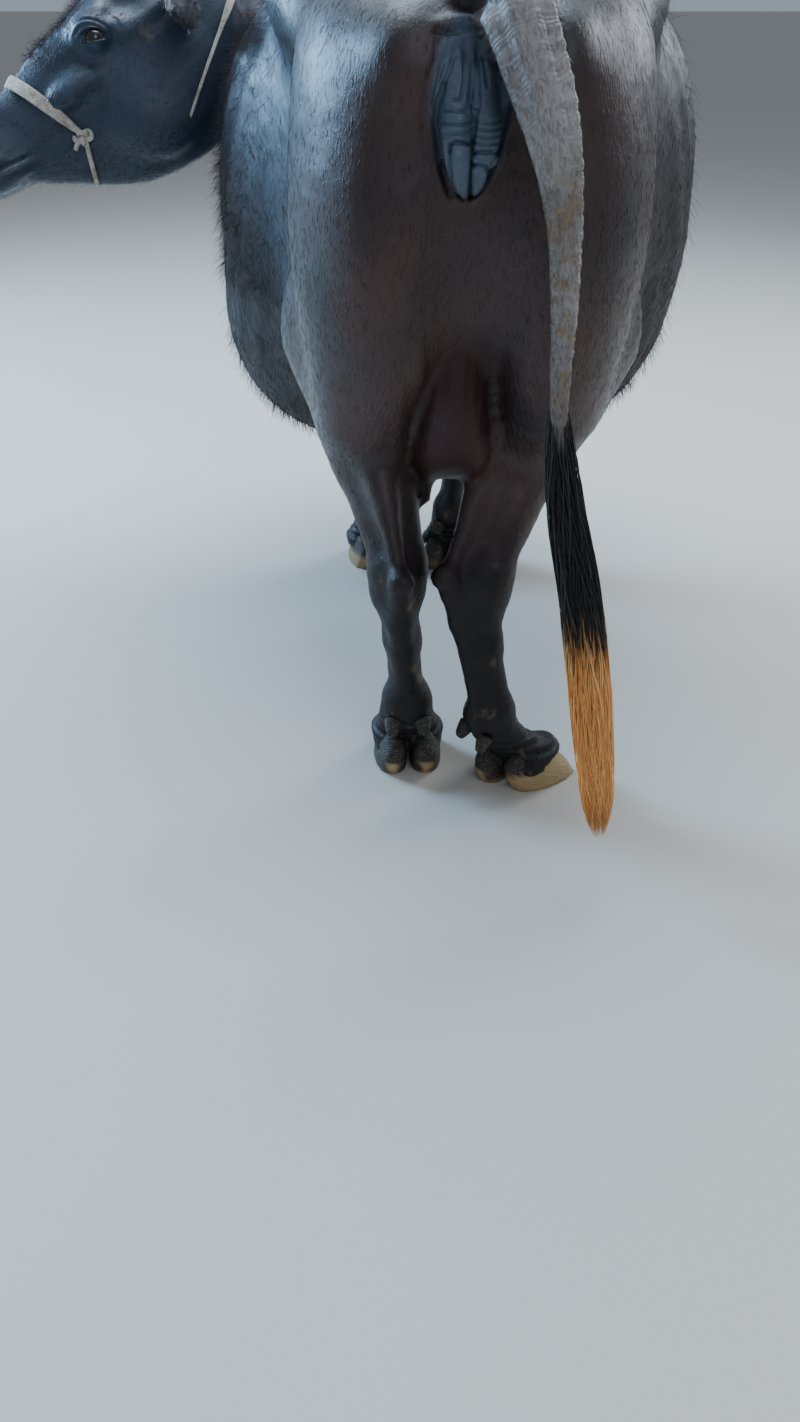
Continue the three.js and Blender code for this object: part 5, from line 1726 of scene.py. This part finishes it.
def make_band(name, nodes, centre, a, down_at, half_of, lift, thick, out_to, turned_edge=0.0):
    count = 120
    downs = np.array([down_at(math.sin(2 * math.pi * i / count)) for i in range(count)])
    through = np.cross(a, downs)
    middle, rays = round_loop(centre, a, downs, count, lift, out_to)
    shell = bmesh.new()
    bmesh.ops.create_circle(shell, cap_ends=False, segments=count, radius=1)
    number = shell.verts.layers.int.new("number")
    for i, vert in enumerate(shell.verts):
        vert[number] = i
    edges, columns = list(shell.edges), 5
    ring = list(shell.verts)
    for column in range(columns):
        share = column / (columns - 1) * 2 - 1
        if column:
            ring, edges = next_ring(shell, edges)
        for vert in ring:
            i = vert[number]
            crown = (1 - share * share) * 0.8
            lean = turned_edge * math.sin(i * 0.13)
            place = middle[i] + through[i] * share * half_of(i / count) + rays[i] * (crown + lean * share)
            vert.co = to_row(place)
    weave = shell.loops.layers.uv.new("weave")
    around = float(np.sum(np.linalg.norm(np.diff(np.vstack([middle, middle[:1]]), axis=0), axis=1))) * MM
    for face_ in shell.faces:
        numbers = [loop.vert[number] for loop in face_.loops]
        seam = max(numbers) - min(numbers) > count / 2
        for loop, i in zip(face_.loops, numbers):
            u = (i + (count if seam and i < count / 2 else 0)) / count * around
            off = (to_body(np.array(loop.vert.co)) - middle[i]) @ through[i] * MM
            loop[weave].uv = (u, off)
    bmesh.ops.recalc_face_normals(shell, faces=shell.faces)
    piece = finished(shell, name, cotton, nodes)
    cloth = piece.modifiers.new("thickness", "SOLIDIFY")
    cloth.thickness = thick * MM
    cloth.offset = 1.0
    rounder = piece.modifiers.new("rounder", "SUBSURF")
    rounder.levels = rounder.render_levels = 1


NOSEBAND, NOSEBAND_LEAN = 355, 0.42


def nose_down(low):
    """The noseband leans back over the nose, bends at its knot and leans forward under the jaw."""
    lean = mix(-NOSEBAND_LEAN, 0.35, min(max((low + 0.15) / 0.3, 0), 1))
    return unit(on_head(0, lean, -1) - on_head(0, 0, 0))


make_band(
    "noseband_cotton", ["halter_noseband"], on_head(0, NOSEBAND - 29, -186), head_right, nose_down,
    lambda t: mix(12.5, 4.2, smooth(math.sin(2 * math.pi * t), -0.9, 0.05)),
    1.2, 2.4, 190, 1.2,
)
strap_down = unit(on_head(0, 0.81, -0.58) - on_head(0, 0, 0))
make_band(
    "neck_strap_cotton", ["halter_neck_strap"], on_head(0, -38, -136), head_right, lambda low: strap_down,
    lambda t: mix(7.5, 2.6, smooth(math.sin(2 * math.pi * t), -0.1, 0.6)) + 0.7 * math.sin(t * 19),
    1.5, 2.0, 250, 1.0,
)


def make_knot():
    """A wound overhand knot of the same cotton, with two short ends lying on the jaw."""
    centre = on_head(-62, NOSEBAND - 30, -186)
    t = np.linspace(0, 2 * math.pi, 90)
    x = np.sin(t) + 2 * np.sin(2 * t)
    y = np.cos(t) - 2 * np.cos(2 * t)
    z = -np.sin(3 * t)
    out_way = unit(-head_right * 0.8 - head_top * 0.5)
    side = unit(np.cross(out_way, head_ahead))
    down = np.cross(side, out_way)
    path = centre + 4.4 * (x[:, None] * side + y[:, None] * down) + 5.5 * z[:, None] * out_way + 3 * out_way
    pieces = bmesh.new()
    strands_ = [path]
    for sign, long in ((1, 26), (-1, 18)):
        s = np.linspace(0, 1, 14)[:, None]
        wave = head_ahead * 4 * np.sin(5 * s)
        strands_.append(centre + out_way * (6 - 4 * s) + side * sign * 10 * s + down * (8 + long * s) + wave)
    for strand_path in strands_:
        take_in(pieces, swept(to_row(strand_path), lambda u: 4.6 * MM, lambda u: 2.9 * MM, 12, out_way))
    weave = pieces.loops.layers.uv.new("weave")
    for face_ in pieces.faces:
        for loop in face_.loops:
            place = to_body(np.array(loop.vert.co)) - centre
            loop[weave].uv = ((place @ down) * MM, (place @ side) * MM)
    finished(pieces, "knot_cotton", cotton, ["halter_knot"], levels=1)


make_knot()

floor.data.materials.append(make_floor())


# Soft studio light
def lamp(name, place, aim, size, power, colour):
    data = bpy.data.lights.new(name, "AREA")
    data.shape = "DISK"
    data.size = size
    data.energy = power
    data.color = colour
    piece = bpy.data.objects.new(name, data)
    bpy.context.scene.collection.objects.link(piece)
    piece.location = place
    piece.rotation_euler = (Vector(aim) - Vector(place)).to_track_quat("-Z", "Y").to_euler()
    piece.visible_camera = False


lamp("overhead", (0, 1.2, 4.2), (0, 0, 0.6), 3.4, 300, (0.72, 0.86, 1.0))
lamp("left", (-3.9, 1.7, 2.4), (0, -0.2, 1.1), 1.6, 430, (0.38, 0.66, 1.0))
lamp("right", (3.6, 2.0, 2.6), (0, -0.3, 1.1), 2.0, 100, (0.84, 0.93, 1.0))
lamp("near_right", (1.6, -3.6, 3.2), (0.1, -0.3, 0.8), 3.0, 50, (0.84, 0.90, 1.0))
world = bpy.data.worlds.new("studio")
bpy.context.scene.world = world
world.use_nodes = True
world.node_tree.nodes["Background"].inputs[0].default_value = (0.72, 0.84, 1.0, 1)
world.node_tree.nodes["Background"].inputs[1].default_value = 0.40
